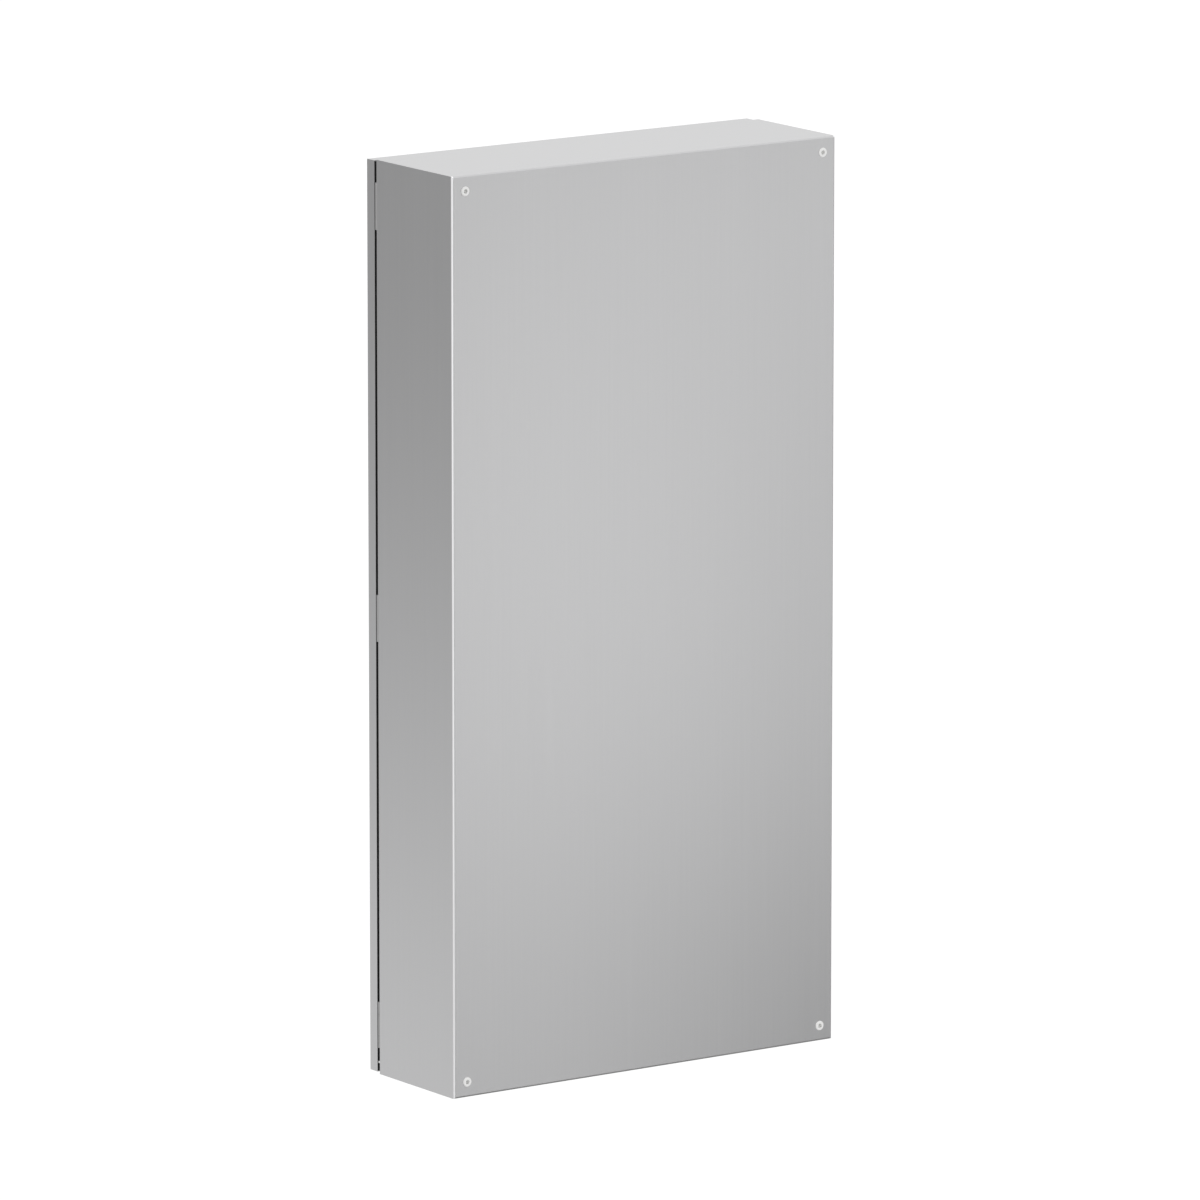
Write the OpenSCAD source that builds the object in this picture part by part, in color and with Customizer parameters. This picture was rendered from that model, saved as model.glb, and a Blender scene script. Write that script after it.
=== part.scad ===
// Surface-mounted bathroom cabinet in satin stainless steel: a folded and welded body, a hinged
// door that carries the mirror, three glass shelves on slotted strips, and a touch latch.
// X runs to the right as seen from the front, the door faces -Y, the wall is at +Y, Z is up.
// The origin is the middle of the four wall fixings, in the plane where they meet the wall.

/* [Body] */
// Width of the body
body_w = 400; // [300:1:600]
// Height of the body
body_h = 800; // [600:1:1200]
// Depth of the body, without the door
body_d = 115.5; // [100:0.5:200]
// Thickness of the steel sheet
sheet_t = 1; // [0.8:0.1:1.5]
// Outside radius of the folds
bend_r = 1.7; // [1.6:0.1:2.4]
// Width of the flange round the front opening
flange_w = 10; // [9.5:0.5:14]
// Depth of the return behind the flange
return_d = 12; // [8:0.5:20]

/* [Wall fixings] */
// Distance from the fixing's axis to the edges of the back
fixing_inset = 13.5; // [12.5:0.5:24]
// Bore for the wall screw
fixing_bore_d = 3.8; // [3.2:0.1:5]
// Diameter of the fixing's head against the wall
fixing_head_d = 8.4; // [8:0.1:11]
// How far the head stands proud of the back
fixing_head_h = 1; // [0.6:0.1:2]
// Wall of the fixing's sleeve
fixing_wall = 0.7; // [0.5:0.1:1]
// Length of the whole fixing
fixing_l = 8; // [6.5:0.5:14]
// Side of the square stiffening plate behind each fixing
stiffener_w = 21; // [14:1:23]
// Thickness of the stiffening plates
stiffener_t = 2; // [1:0.5:3]

/* [Door] */
// Gap between body and door
door_gap = 3.6; // [3.4:0.1:5]
// Thickness of the door
door_t = 11; // [10:0.5:20]
// How far the door's sides stand back from the body's sides
door_inset = 0.85; // [0.8:0.05:1.2]
// How far the door's top and bottom stand back from the body's
door_reveal = 1.2; // [0.5:0.1:3]
// Radius of the door's ground edges
door_edge_r = 0.1; // [0.1:0.05:0.6]
// Thickness of the mirror
mirror_t = 4; // [3:0.5:6]
// How far the mirror's face lies behind the rim
mirror_recess = 0.4; // [0:0.1:1]
// Width of the sealing bead round the mirror
bead_w = 1.2; // [1:0.1:3]
// Depth of the sealing bead
bead_d = 2; // [1:0.1:2.4]
// Thickness of the mirror's adhesive tape
tape_t = 0.8; // [0.5:0.1:1.2]
// Width of each strip of tape
tape_w = 25; // [12:1:40]
// Number of strips of tape
tape_n = 4; // [2:1:6]
// Length of the blocks that the mirror stands on
block_l = 30; // [20:1:60]

/* [Hinges] */
// Height of each hinge
hinge_h = 40.8; // [36:0.1:60]
// Outside diameter of the knuckles
knuckle_d = 2.8; // [2.6:0.1:3]
// Height of the middle knuckle
knuckle_mid_h = 19; // [12:0.5:22]
// Thickness of the leaves
leaf_t = 0.8; // [0.5:0.05:0.8]
// Width of a leaf, from the pin's axis to its edge
leaf_w = 6.9; // [6.6:0.1:7]
// Diameter of the hinge pins
pin_d = 1.4; // [1:0.1:1.4]
// From the body's top to the middle of the top hinge
hinge_drop = 40.6; // [32:0.1:100]
// From the body's bottom to the middle of the bottom hinge
hinge_rise = 43; // [38:0.1:100]
// Distance between a hinge's two screws
hinge_screw_pitch = 25; // [20:1:30]
// Diameter of the hinge screws
hinge_screw_d = 2.5; // [2:0.1:3]
// Diameter of the hinge screws' heads
hinge_head_d = 4.2; // [3.6:0.1:4.6]
// Height of the hinge screws' heads
hinge_head_h = 0.65; // [0.4:0.05:0.7]
// Length of the hinge screws under the head
hinge_screw_l = 4; // [3.5:0.1:4.5]
// Thickness of the tapped bars behind the hinges
bar_t = 2; // [1.5:0.1:3]
// Width of the tapped bars
bar_w = 6.4; // [5.5:0.1:7]

/* [Shelves] */
// Thickness of the glass shelves
shelf_t = 5; // [4:1:8]
// Gap between the shelves and the back
shelf_back_gap = 6; // [3:1:20]
// Gap between the shelves' front edges and the latch
shelf_latch_gap = 1.5; // [1:0.5:10]
// Radius of the shelves' corners
shelf_corner_r = 4; // [2:1:12]
// Strip holes, counted from the bottom, that the shelves hang on
shelf_holes = [5, 11, 17];
// Distance between the strips' holes
hole_pitch = 32; // [20:1:40]
// Number of holes in each strip
hole_n = 23; // [9:2:31]
// Diameter of the strips' holes
hole_d = 5; // [4:0.1:6]
// Steel beyond the last hole of a strip
strip_end = 20; // [8:1:30]
// Width of the strips
strip_w = 14; // [10:1:20]
// Depth of the strips
strip_d = 4; // [3:0.5:8]
// From the back to the middle of the rear strips
rear_strip_inset = 22; // [18:1:32]
// From the body's front to the middle of the front strips
front_strip_inset = 35.5; // [32:0.5:45]
// Diameter of the shelf pins
pin_stem_d = 4.8; // [4:0.1:6]
// Diameter of the pins' collars
collar_d = 8; // [7:0.5:10]
// Thickness of the pins' collars
collar_t = 1; // [0.5:0.1:2]
// How far the pins reach under the shelf
peg_l = 9; // [6:0.5:14]
// Outside diameter of the soft sleeves on the pins
sleeve_d = 7; // [6.5:0.1:7.8]

/* [Latch] */
// Width of the latch's housing
latch_w = 12; // [11:0.5:16]
// Height of the latch's housing
latch_h = 44; // [34:1:60]
// Diameter of the plunger
plunger_d = 7; // [6:0.1:7.6]
// Diameter of the plunger's collar
plunger_collar_d = 8.6; // [8.2:0.1:9]
// How far the door can be pressed to release the latch
press_travel = 2; // [1:0.1:2.2]
// Diameter of the latch's magnet
magnet_d = 5; // [4:0.1:5.4]
// Length of the latch's magnet
magnet_l = 3; // [2:0.5:5]
// Wire of the latch's spring
spring_wire_d = 0.6; // [0.4:0.1:0.9]
// Turns of the latch's spring
spring_turns = 5; // [3:1:7]
// Diameter of the latch's screws
latch_screw_d = 2.9; // [2.5:0.1:3.5]
// Height of the strike plate
strike_h = 34; // [28:1:50]
// Width of the strike plate
strike_w = 14; // [10:1:16]
// Thickness of the strike plate
strike_t = 1; // [0.8:0.1:1.2]

/* [Buffers] */
// Diameter of the soft buffers on the flange
buffer_d = 6.4; // [4:0.1:7]
// Height of the buffers
buffer_h = 1.2; // [0.8:0.1:1.4]
// From the body's top and bottom to the buffers
buffer_inset = 40; // [15:1:90]
// Diameter of the stop pin below the bottom hinge
stop_d = 2; // [1.5:0.1:2]
// How far the stop pin stands out of the flange
stop_h = 2; // [1:0.1:2.2]
// From the body's bottom to the stop pin
stop_rise = 10; // [4:0.5:16]

/* [Hidden] */

// Fits
run_gap = 0.05;     // round the hinge pins and the plunger
slip_gap = 0.1;     // round screws, rivets and pins in their holes
seat_gap = 0.05;    // under the shelves
knuckle_gap = 0.2;  // between neighbouring knuckles
knuckle_inset = 0.65;  // from the body's side to the knuckles
stop_inset = 0.7;   // from the body's side to the stop pin
latch_gap = 0.3;    // between the latch's magnet and the strike plate
through = 1;        // how far a cut runs past the surface it opens

// Planes across the depth, from the wall to the mirror
back_y = -fixing_head_h;
front_y = back_y - body_d;
door_back_y = front_y - door_gap;
door_face_y = door_back_y - door_t;
body_mid_y = (back_y + front_y) / 2;

// Front opening of the body
open_w = body_w - 2 * flange_w;
open_h = body_h - 2 * flange_w;

// Wall fixings
fixing_x = body_w / 2 - fixing_inset;
fixing_z = body_h / 2 - fixing_inset;
fixing_tube_d = fixing_bore_d + 2 * fixing_wall;
fixing_flare = 0.8;

// Hinges
axis_x = body_w / 2 - knuckle_d / 2 - knuckle_inset;
axis_y = front_y - door_gap / 2;
hinge_z = [-body_h / 2 + hinge_rise,
    (hinge_rise - hinge_drop) / 2,
    body_h / 2 - hinge_drop];
knuckle_end_h = (hinge_h - knuckle_mid_h) / 2;
fold_x = -knuckle_d / 2 - knuckle_gap;
screw_x = axis_x - (leaf_w - fold_x) / 2;
bar_x = (body_w + open_w) / 4;
bar_h = hinge_h - 3;

// Door
door_w = body_w - 2 * door_inset;
door_h = body_h - 2 * door_reveal;
pan_in_w = door_w - 2 * sheet_t;
pan_in_h = door_h - 2 * sheet_t;
mirror_w = pan_in_w - 2 * bead_w;
mirror_h = pan_in_h - 2 * bead_w;
mirror_face_y = door_face_y + mirror_recess;
mirror_back_y = mirror_face_y + mirror_t;
core_back_y = door_back_y - sheet_t;
core_t = door_t - sheet_t - tape_t - mirror_t - mirror_recess;
core_gap = 0.5;
tape_end = 20;
block_z_gap = 0.1;

// Shelves
strip_l = (hole_n - 1) * hole_pitch + 2 * strip_end;
strip_x = body_w / 2 - sheet_t;
strip_face_x = strip_x - strip_d;
shelf_w = 2 * (strip_face_x - collar_t - 0.5);
peg_d = pin_stem_d;
strip_ys = [back_y - rear_strip_inset, front_y + front_strip_inset];

// Latch
strike_y = door_back_y + strike_t;
plunger_tip_y = strike_y + latch_gap;
latch_x = -open_w / 2 + latch_w / 2;
latch_shoulder = 4;
plunger_collar_t = 2.5;
cap_t = 2;
spring_reserve = 5.4;  // left between the spring's turns when the door is pressed
spring_l = spring_turns * spring_wire_d + press_travel + spring_reserve;
latch_d = latch_shoulder + slip_gap + plunger_collar_t + spring_l + cap_t;
latch_bore_d = plunger_collar_d + 2 * run_gap;
collar_front_y = front_y + latch_shoulder + slip_gap;
collar_back_y = collar_front_y + plunger_collar_t;
cap_y = front_y + latch_d - cap_t;
latch_screw_y = front_y + return_d / 2 + 0.5;
latch_screw_z = latch_h / 2 - 5.5;
latch_head_d = 2 * latch_screw_d;
latch_head_h = 2;
rivet_d = 3;
rivet_head_d = 5;
rivet_head_h = 0.6;
rivet_tail_h = 1.2;
strike_rivet_z = strike_h / 2 - 6;

// Glass between the back and the latch
shelf_d = body_d - sheet_t - shelf_back_gap - shelf_latch_gap - latch_d;

// ---- shapes used by several pieces ----

// Rectangle with its corners rounded by true arcs, centred on the origin
module rounded_rect(w, h, r) {
    union() {
        square([w - 2 * r, h], center = true);
        square([w, h - 2 * r], center = true);
        for (x = [-1, 1], z = [-1, 1])
            translate([x * (w / 2 - r), z * (h / 2 - r)])
                circle(r = r, $fn = 32);
    }
}

// Block whose edges round the back and the front are folds and whose other edges are sharp
module folded_block(w, d, h, r) {
    intersection() {
        linear_extrude(height = h, center = true)
            rounded_rect(w, d, r);
        rotate([0, 90, 0])
            linear_extrude(height = w, center = true)
                rounded_rect(h, d, r);
    }
}

// Plain block between two depths, centred on the X and Z given
module slab(x, y_from, y_to, z, w, h) {
    translate([x - w / 2, min(y_from, y_to), z - h / 2])
        cube([w, abs(y_to - y_from), h]);
}

// Round bar along Y between two depths
module bar_y(x, y_from, y_to, z, d) {
    translate([x, max(y_from, y_to), z])
        rotate([90, 0, 0])
            cylinder(h = abs(y_to - y_from), d = d, $fn = 32);
}

// Concave cut that rounds one edge of the front opening: its length runs along Z
module edge_round(len, r) {
    difference() {
        translate([-through, -through, -len / 2])
            cube([r + through, r + through, len]);
        translate([r, r, -len / 2 - through])
            cylinder(h = len + 2 * through, r = r, $fn = 32);
    }
}

// Repeats its children at the four wall fixings
module at_fixings() {
    for (x = [-fixing_x, fixing_x], z = [-fixing_z, fixing_z])
        translate([x, 0, z])
            children();
}

// Repeats its children at a hinge's screws, for each of the three hinges
module at_hinge_screws() {
    for (z = hinge_z, s = [-1, 1])
        translate([0, 0, z + s * hinge_screw_pitch / 2])
            children();
}

// ---- body ----

module front_opening() {
    slab(0, front_y - through, front_y + return_d + through, 0, open_w, open_h);
    for (s = [-1, 1]) {
        translate([s * open_w / 2, front_y, 0])
            mirror([s < 0 ? 1 : 0, 0, 0])
                edge_round(open_h, bend_r);
        translate([0, front_y, s * open_h / 2])
            mirror([0, 0, s < 0 ? 1 : 0])
                rotate([0, -90, 0])
                    edge_round(open_w, bend_r);
    }
}

module cabinet_body() {
    color([0.78, 0.78, 0.79])
        difference() {
            union() {
                difference() {
                    translate([0, body_mid_y, 0])
                        folded_block(body_w, body_d, body_h, bend_r);
                    translate([0, body_mid_y, 0])
                        folded_block(body_w - 2 * sheet_t, body_d - 2 * sheet_t,
                            body_h - 2 * sheet_t, bend_r - sheet_t);
                }
                slab(0, front_y + sheet_t / 2, front_y + return_d, 0,
                    open_w + 2 * sheet_t, open_h + 2 * sheet_t);
            }
            front_opening();
            at_fixings()
                bar_y(0, back_y - sheet_t - through, back_y + through, 0,
                    fixing_tube_d + 2 * slip_gap);
            at_hinge_screws()
                bar_y(screw_x, front_y - through, front_y + sheet_t + through, 0,
                    hinge_screw_d + 2 * slip_gap);
            for (s = [-1, 1])
                translate([-open_w / 2 - sheet_t - through, latch_screw_y, s * latch_screw_z])
                    rotate([0, 90, 0])
                        cylinder(h = sheet_t + 2 * through, d = latch_screw_d + 2 * slip_gap,
                            $fn = 32);
        }
}

// Moulded bush pressed through the back: (radius, height) outline, turned about its bore
module wall_bushes() {
    bore_r = fixing_bore_d / 2;
    tube_r = fixing_tube_d / 2;
    head_r = fixing_head_d / 2;
    grip = sheet_t + stiffener_t;
    crown_r = min(fixing_head_h, (head_r - tube_r) / 2);
    crown = [for (a = [90:-15:0])
        [head_r - crown_r + crown_r * cos(a), -crown_r + crown_r * sin(a)]];
    color([0.9, 0.9, 0.9])
        at_fixings()
            rotate([-90, 0, 0])
                difference() {
                    union() {
                        rotate_extrude($fn = 64)
                            polygon(concat([[0, 0]], crown,
                                [[head_r, -fixing_head_h], [0, -fixing_head_h]]));
                        translate([0, 0, -fixing_l])
                            cylinder(h = fixing_l - fixing_head_h + 0.01, r = tube_r, $fn = 64);
                        translate([0, 0, -fixing_head_h - grip - fixing_flare])
                            cylinder(h = fixing_flare, r = tube_r + fixing_flare, $fn = 64);
                    }
                    translate([0, 0, -fixing_l - through])
                        cylinder(h = fixing_l + 2 * through, r = bore_r, $fn = 64);
                }
}

module stiffener_plates() {
    color([0.7, 0.7, 0.72])
        at_fixings()
            difference() {
                slab(0, back_y - sheet_t, back_y - sheet_t - stiffener_t, 0,
                    stiffener_w, stiffener_w);
                bar_y(0, back_y, back_y - sheet_t - stiffener_t - through, 0,
                    fixing_tube_d + 2 * slip_gap);
            }
}

// ---- shelves ----

function hole_z(i) = -strip_l / 2 + strip_end + i * hole_pitch;
function shelf_z(i) = hole_z(i) + sleeve_d / 2 + seat_gap;

// Channel welded to a side wall, with its slotted face inwards. side is -1 for left, 1 for right
module strip(side, y) {
    color([0.74, 0.74, 0.76])
        difference() {
            slab(side * (strip_x - strip_d / 2), y - strip_w / 2, y + strip_w / 2, 0,
                strip_d, strip_l);
            slab(side * (strip_x - (strip_d - sheet_t) / 2 + through / 2),
                y - strip_w / 2 + sheet_t, y + strip_w / 2 - sheet_t, 0,
                strip_d - sheet_t + through, strip_l + 2 * through);
            for (i = [0 : hole_n - 1])
                translate([side * (strip_face_x + sheet_t / 2), y, hole_z(i)])
                    rotate([0, 90, 0])
                        cylinder(h = sheet_t + 2 * through, d = hole_d, center = true, $fn = 32);
        }
}

module strip_left_front() { strip(-1, strip_ys[1]); }
module strip_left_rear() { strip(-1, strip_ys[0]); }
module strip_right_front() { strip(1, strip_ys[1]); }
module strip_right_rear() { strip(1, strip_ys[0]); }

module shelf(i) {
    color([0.75, 0.88, 0.85, 0.6])
        translate([0, back_y - sheet_t - shelf_back_gap - shelf_d / 2, shelf_z(i)])
            linear_extrude(height = shelf_t)
                rounded_rect(shelf_w, shelf_d, shelf_corner_r);
}

module shelf_lower() { shelf(shelf_holes[0]); }
module shelf_middle() { shelf(shelf_holes[1]); }
module shelf_upper() { shelf(shelf_holes[2]); }

// Repeats its children at every shelf pin, with local Z along the pin towards the shelf
module at_shelf_pins() {
    for (i = shelf_holes, y = strip_ys, side = [-1, 1])
        translate([side * strip_face_x, y, hole_z(i)])
            rotate([0, -side * 90, 0])
                children();
}

module shelf_pins() {
    color([0.85, 0.85, 0.87])
        at_shelf_pins() {
            translate([0, 0, -strip_d + sheet_t / 2])
                cylinder(h = strip_d - sheet_t / 2 + collar_t / 2, d = pin_stem_d, $fn = 32);
            cylinder(h = collar_t, d = collar_d, $fn = 32);
            cylinder(h = collar_t + peg_l, d = peg_d, $fn = 32);
        }
}

module pin_sleeves() {
    color([0.9, 0.92, 0.92, 0.7])
        at_shelf_pins()
            translate([0, 0, collar_t])
                difference() {
                    cylinder(h = peg_l - sheet_t, d = sleeve_d, $fn = 32);
                    translate([0, 0, -through])
                        cylinder(h = peg_l + 2 * through, d = peg_d + 2 * run_gap, $fn = 32);
                }
}

// ---- hinges ----

// Strip of sheet that joins a leaf's flat to its knuckle, seen along the pin, which is at the
// origin. The leaf lies on the +Y side.
module leaf_fold() {
    half_gap = door_gap / 2;
    knuckle_r = knuckle_d / 2;
    polygon([[fold_x - leaf_t / 2, half_gap], [fold_x - leaf_t / 2, half_gap - leaf_t],
        [fold_x, half_gap - leaf_t], [0, knuckle_r - leaf_t], [0, knuckle_r],
        [fold_x, half_gap]]);
}

// One knuckle with its strip of sheet, over the given heights
module knuckle(z_from, h) {
    translate([0, 0, z_from])
        linear_extrude(height = h)
            difference() {
                union() {
                    leaf_fold();
                    circle(d = knuckle_d, $fn = 48);
                }
                circle(d = pin_d + 2 * run_gap, $fn = 48);
            }
}

// Flat of a leaf beside the knuckles, with its screw holes
module leaf_flat() {
    difference() {
        translate([-leaf_w, door_gap / 2 - leaf_t, -hinge_h / 2])
            cube([leaf_w + fold_x, leaf_t, hinge_h]);
        for (s = [-1, 1])
            bar_y(screw_x - axis_x, 0, door_gap, s * hinge_screw_pitch / 2,
                hinge_screw_d + 2 * slip_gap);
    }
}

module frame_leaf(z) {
    color([0.82, 0.82, 0.83])
        translate([axis_x, axis_y, z])
            union() {
                leaf_flat();
                knuckle(-hinge_h / 2, knuckle_end_h - knuckle_gap);
                knuckle(knuckle_mid_h / 2 + knuckle_gap, knuckle_end_h - knuckle_gap);
            }
}

module door_leaf(z) {
    color([0.82, 0.82, 0.83])
        translate([axis_x, axis_y, z])
            mirror([0, 1, 0])
                union() {
                    leaf_flat();
                    knuckle(-knuckle_mid_h / 2, knuckle_mid_h);
                }
}

module hinge_pin(z) {
    color([0.86, 0.86, 0.87])
        translate([axis_x, axis_y, z - hinge_h / 2])
            cylinder(h = hinge_h, d = pin_d, $fn = 32);
}

module frame_leaf_lower() { frame_leaf(hinge_z[0]); }
module frame_leaf_middle() { frame_leaf(hinge_z[1]); }
module frame_leaf_upper() { frame_leaf(hinge_z[2]); }
module door_leaf_lower() { door_leaf(hinge_z[0]); }
module door_leaf_middle() { door_leaf(hinge_z[1]); }
module door_leaf_upper() { door_leaf(hinge_z[2]); }
module hinge_pin_lower() { hinge_pin(hinge_z[0]); }
module hinge_pin_middle() { hinge_pin(hinge_z[1]); }
module hinge_pin_upper() { hinge_pin(hinge_z[2]); }

// Tapped bars behind the sheet: y is the sheet's inner face, dir the way the bars lie from it
module hinge_bars(x, y, dir) {
    color([0.68, 0.68, 0.7])
        difference() {
            for (z = hinge_z)
                slab(x, y, y + dir * bar_t, z, bar_w, bar_h);
            at_hinge_screws()
                bar_y(screw_x, y - dir * through, y + dir * (bar_t + through), 0,
                    hinge_screw_d + 2 * run_gap);
        }
}

module hinge_bars_body() { hinge_bars(bar_x, front_y + sheet_t, 1); }
module hinge_bars_door() { hinge_bars(screw_x, core_back_y, -1); }

// Low-headed screws: y is the leaf's free face, dir the way they point
module hinge_screws(y, dir) {
    color([0.9, 0.9, 0.91])
        at_hinge_screws() {
            bar_y(screw_x, y - dir * hinge_head_h, y, 0, hinge_head_d);
            bar_y(screw_x, y - dir * hinge_head_h, y + dir * hinge_screw_l, 0, hinge_screw_d);
        }
}

module hinge_screws_body() { hinge_screws(front_y - leaf_t, 1); }
module hinge_screws_door() { hinge_screws(door_back_y + leaf_t, -1); }

// ---- door ----

module door_pan() {
    color([0.76, 0.76, 0.77])
        difference() {
            union() {
                translate([0, (door_back_y + door_face_y) / 2, 0])
                    folded_block(door_w, door_t, door_h, door_edge_r);
                slab(0, door_face_y, door_back_y - door_edge_r, 0, door_w, door_h);
            }
            slab(0, core_back_y, door_face_y - through, 0, pan_in_w, pan_in_h);
            at_hinge_screws()
                bar_y(screw_x, door_back_y + through, core_back_y - through, 0,
                    hinge_screw_d + 2 * slip_gap);
            at_strike_rivets()
                bar_y(0, door_back_y + through, core_back_y - through, 0,
                    rivet_d + 2 * slip_gap);
        }
}

// Stiff board glued into the pan, relieved where bars and rivets stand
module door_core() {
    color([0.93, 0.92, 0.88])
        difference() {
            slab(0, core_back_y, core_back_y - core_t, 0,
                pan_in_w - 2 * core_gap, pan_in_h - 2 * core_gap);
            for (z = hinge_z)
                slab(screw_x + through, core_back_y + through,
                    core_back_y - bar_t - 2 * slip_gap, z,
                    bar_w + 2 * core_gap + 2 * through, bar_h + 2 * core_gap);
            at_hinge_screws()
                bar_y(screw_x, core_back_y, core_back_y - bar_t - core_gap, 0,
                    hinge_screw_d + 2 * core_gap);
            at_strike_rivets()
                bar_y(0, core_back_y + through, core_back_y - rivet_tail_h - slip_gap, 0,
                    rivet_head_d + 2 * core_gap);
        }
}

module mirror_tape() {
    pitch = mirror_w / tape_n;
    color([0.95, 0.95, 0.93])
        for (i = [0 : tape_n - 1])
            slab(-mirror_w / 2 + (i + 0.5) * pitch, mirror_back_y, mirror_back_y + tape_t, 0,
                tape_w, mirror_h - 2 * tape_end);
}

module mirror_glass() {
    color([0.86, 0.9, 0.92])
        slab(0, mirror_face_y, mirror_back_y, 0, mirror_w, mirror_h);
}

// Blocks under the mirror's lower edge, behind the bead
module mirror_blocks() {
    color([0.2, 0.2, 0.2])
        for (s = [-1, 1])
            slab(s * mirror_w / 4, mirror_face_y + bead_d + block_z_gap, mirror_back_y,
                -(pan_in_h - bead_w) / 2, block_l, bead_w);
}

module mirror_bead() {
    color([0.8, 0.82, 0.83])
        difference() {
            slab(0, mirror_face_y, mirror_face_y + bead_d, 0, pan_in_w, pan_in_h);
            slab(0, mirror_face_y - through, mirror_face_y + bead_d + through, 0,
                mirror_w, mirror_h);
        }
}

// ---- latch ----

module latch_block(y_from, y_to) {
    translate([latch_x, max(y_from, y_to), 0])
        rotate([90, 0, 0])
            linear_extrude(height = abs(y_to - y_from))
                rounded_rect(latch_w, latch_h, 1.2);
}

module latch_housing() {
    color([0.93, 0.93, 0.92])
        difference() {
            latch_block(front_y, cap_y);
            bar_y(latch_x, front_y - through, cap_y + through, 0, plunger_d + 2 * run_gap);
            bar_y(latch_x, front_y + latch_shoulder, cap_y + through, 0, latch_bore_d);
            for (s = [-1, 1])
                translate([-open_w / 2, latch_screw_y, s * latch_screw_z])
                    rotate([0, 90, 0]) {
                        translate([0, 0, -through])
                            cylinder(h = latch_w + 2 * through, d = latch_screw_d + 2 * slip_gap,
                                $fn = 32);
                        translate([0, 0, latch_w - latch_head_h - slip_gap])
                            cylinder(h = latch_head_h + through, d = latch_head_d + 2 * slip_gap,
                                $fn = 32);
                    }
        }
}

module latch_cap() {
    color([0.9, 0.9, 0.89])
        latch_block(cap_y, cap_y + cap_t);
}

module latch_plunger() {
    color([0.88, 0.88, 0.87])
        difference() {
            union() {
                bar_y(latch_x, plunger_tip_y, collar_back_y, 0, plunger_d);
                bar_y(latch_x, collar_front_y, collar_back_y, 0, plunger_collar_d);
            }
            bar_y(latch_x, plunger_tip_y - through, plunger_tip_y + magnet_l, 0,
                magnet_d + 2 * run_gap);
        }
}

module latch_magnet() {
    color([0.5, 0.5, 0.52])
        bar_y(latch_x, plunger_tip_y, plunger_tip_y + magnet_l, 0, magnet_d);
}

// Compression spring between the plunger's collar and the cap
module latch_spring() {
    coil_r = plunger_d / 2 - spring_wire_d;
    steps = 14;
    sides = 6;
    rings = steps * spring_turns;
    points = [for (i = [0 : rings], k = [0 : sides - 1])
        let (turn = 360 * i / steps, ring = 360 * k / sides,
            r = coil_r + spring_wire_d / 2 * cos(ring),
            y = spring_wire_d / 2 + (spring_l - spring_wire_d) * i / rings
                + spring_wire_d / 2 * sin(ring))
        [latch_x + r * cos(turn), collar_back_y + y, r * sin(turn)]];
    faces = concat(
        [[for (k = [0 : sides - 1]) k]],
        [for (i = [0 : rings - 1], k = [0 : sides - 1])
            let (a = i * sides + k, b = i * sides + (k + 1) % sides)
            [a, a + sides, b + sides, b]],
        [[for (k = [sides - 1 : -1 : 0]) rings * sides + k]]);
    color([0.6, 0.6, 0.62])
        polyhedron(points = points, faces = faces);
}

module latch_screws() {
    color([0.85, 0.85, 0.86])
        for (s = [-1, 1])
            translate([-open_w / 2, latch_screw_y, s * latch_screw_z])
                rotate([0, 90, 0]) {
                    translate([0, 0, latch_w - latch_head_h])
                        cylinder(h = latch_head_h, d = latch_head_d, $fn = 32);
                    translate([0, 0, -2 * sheet_t - through])
                        cylinder(h = latch_w + 2 * sheet_t + through - latch_head_h / 2,
                            d = latch_screw_d, $fn = 32);
                }
}

// Repeats its children at the strike plate's two rivets
module at_strike_rivets() {
    for (s = [-1, 1])
        translate([latch_x, 0, s * strike_rivet_z])
            children();
}

module strike_plate() {
    color([0.72, 0.73, 0.75])
        difference() {
            slab(latch_x, door_back_y, strike_y, 0, strike_w, strike_h);
            at_strike_rivets()
                bar_y(0, door_back_y - through, strike_y + through, 0, rivet_d + 2 * slip_gap);
        }
}

module strike_rivets() {
    color([0.85, 0.85, 0.86])
        at_strike_rivets() {
            bar_y(0, strike_y, strike_y + rivet_head_h, 0, rivet_head_d);
            bar_y(0, core_back_y - rivet_tail_h, strike_y + rivet_head_h, 0, rivet_d);
            bar_y(0, core_back_y - rivet_tail_h, core_back_y, 0, rivet_head_d);
        }
}

// ---- buffers ----

// Soft domes stuck to the flange on the latch side
module door_buffers() {
    dome_r = (pow(buffer_d / 2, 2) + pow(buffer_h, 2)) / (2 * buffer_h);
    dome_a = asin(buffer_d / 2 / dome_r);
    dome = [for (i = [0 : 6])
        [dome_r * sin(dome_a * i / 6), buffer_h - dome_r + dome_r * cos(dome_a * i / 6)]];
    color([0.85, 0.87, 0.87, 0.8])
        for (s = [-1, 1])
            translate([-bar_x, front_y, s * (body_h / 2 - buffer_inset)])
                rotate([90, 0, 0])
                    rotate_extrude($fn = 48)
                        polygon(concat(dome, [[0, 0]]));
}

// Pin welded to the fold of the flange, below the bottom hinge, and dipped in white plastic
module stop_pin() {
    color([0.92, 0.92, 0.93])
        difference() {
            bar_y(body_w / 2 - stop_inset - stop_d / 2, front_y - stop_h, front_y + bend_r,
                -body_h / 2 + stop_rise, stop_d);
            translate([0, body_mid_y, 0])
                folded_block(body_w, body_d, body_h, bend_r);
        }
}

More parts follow.
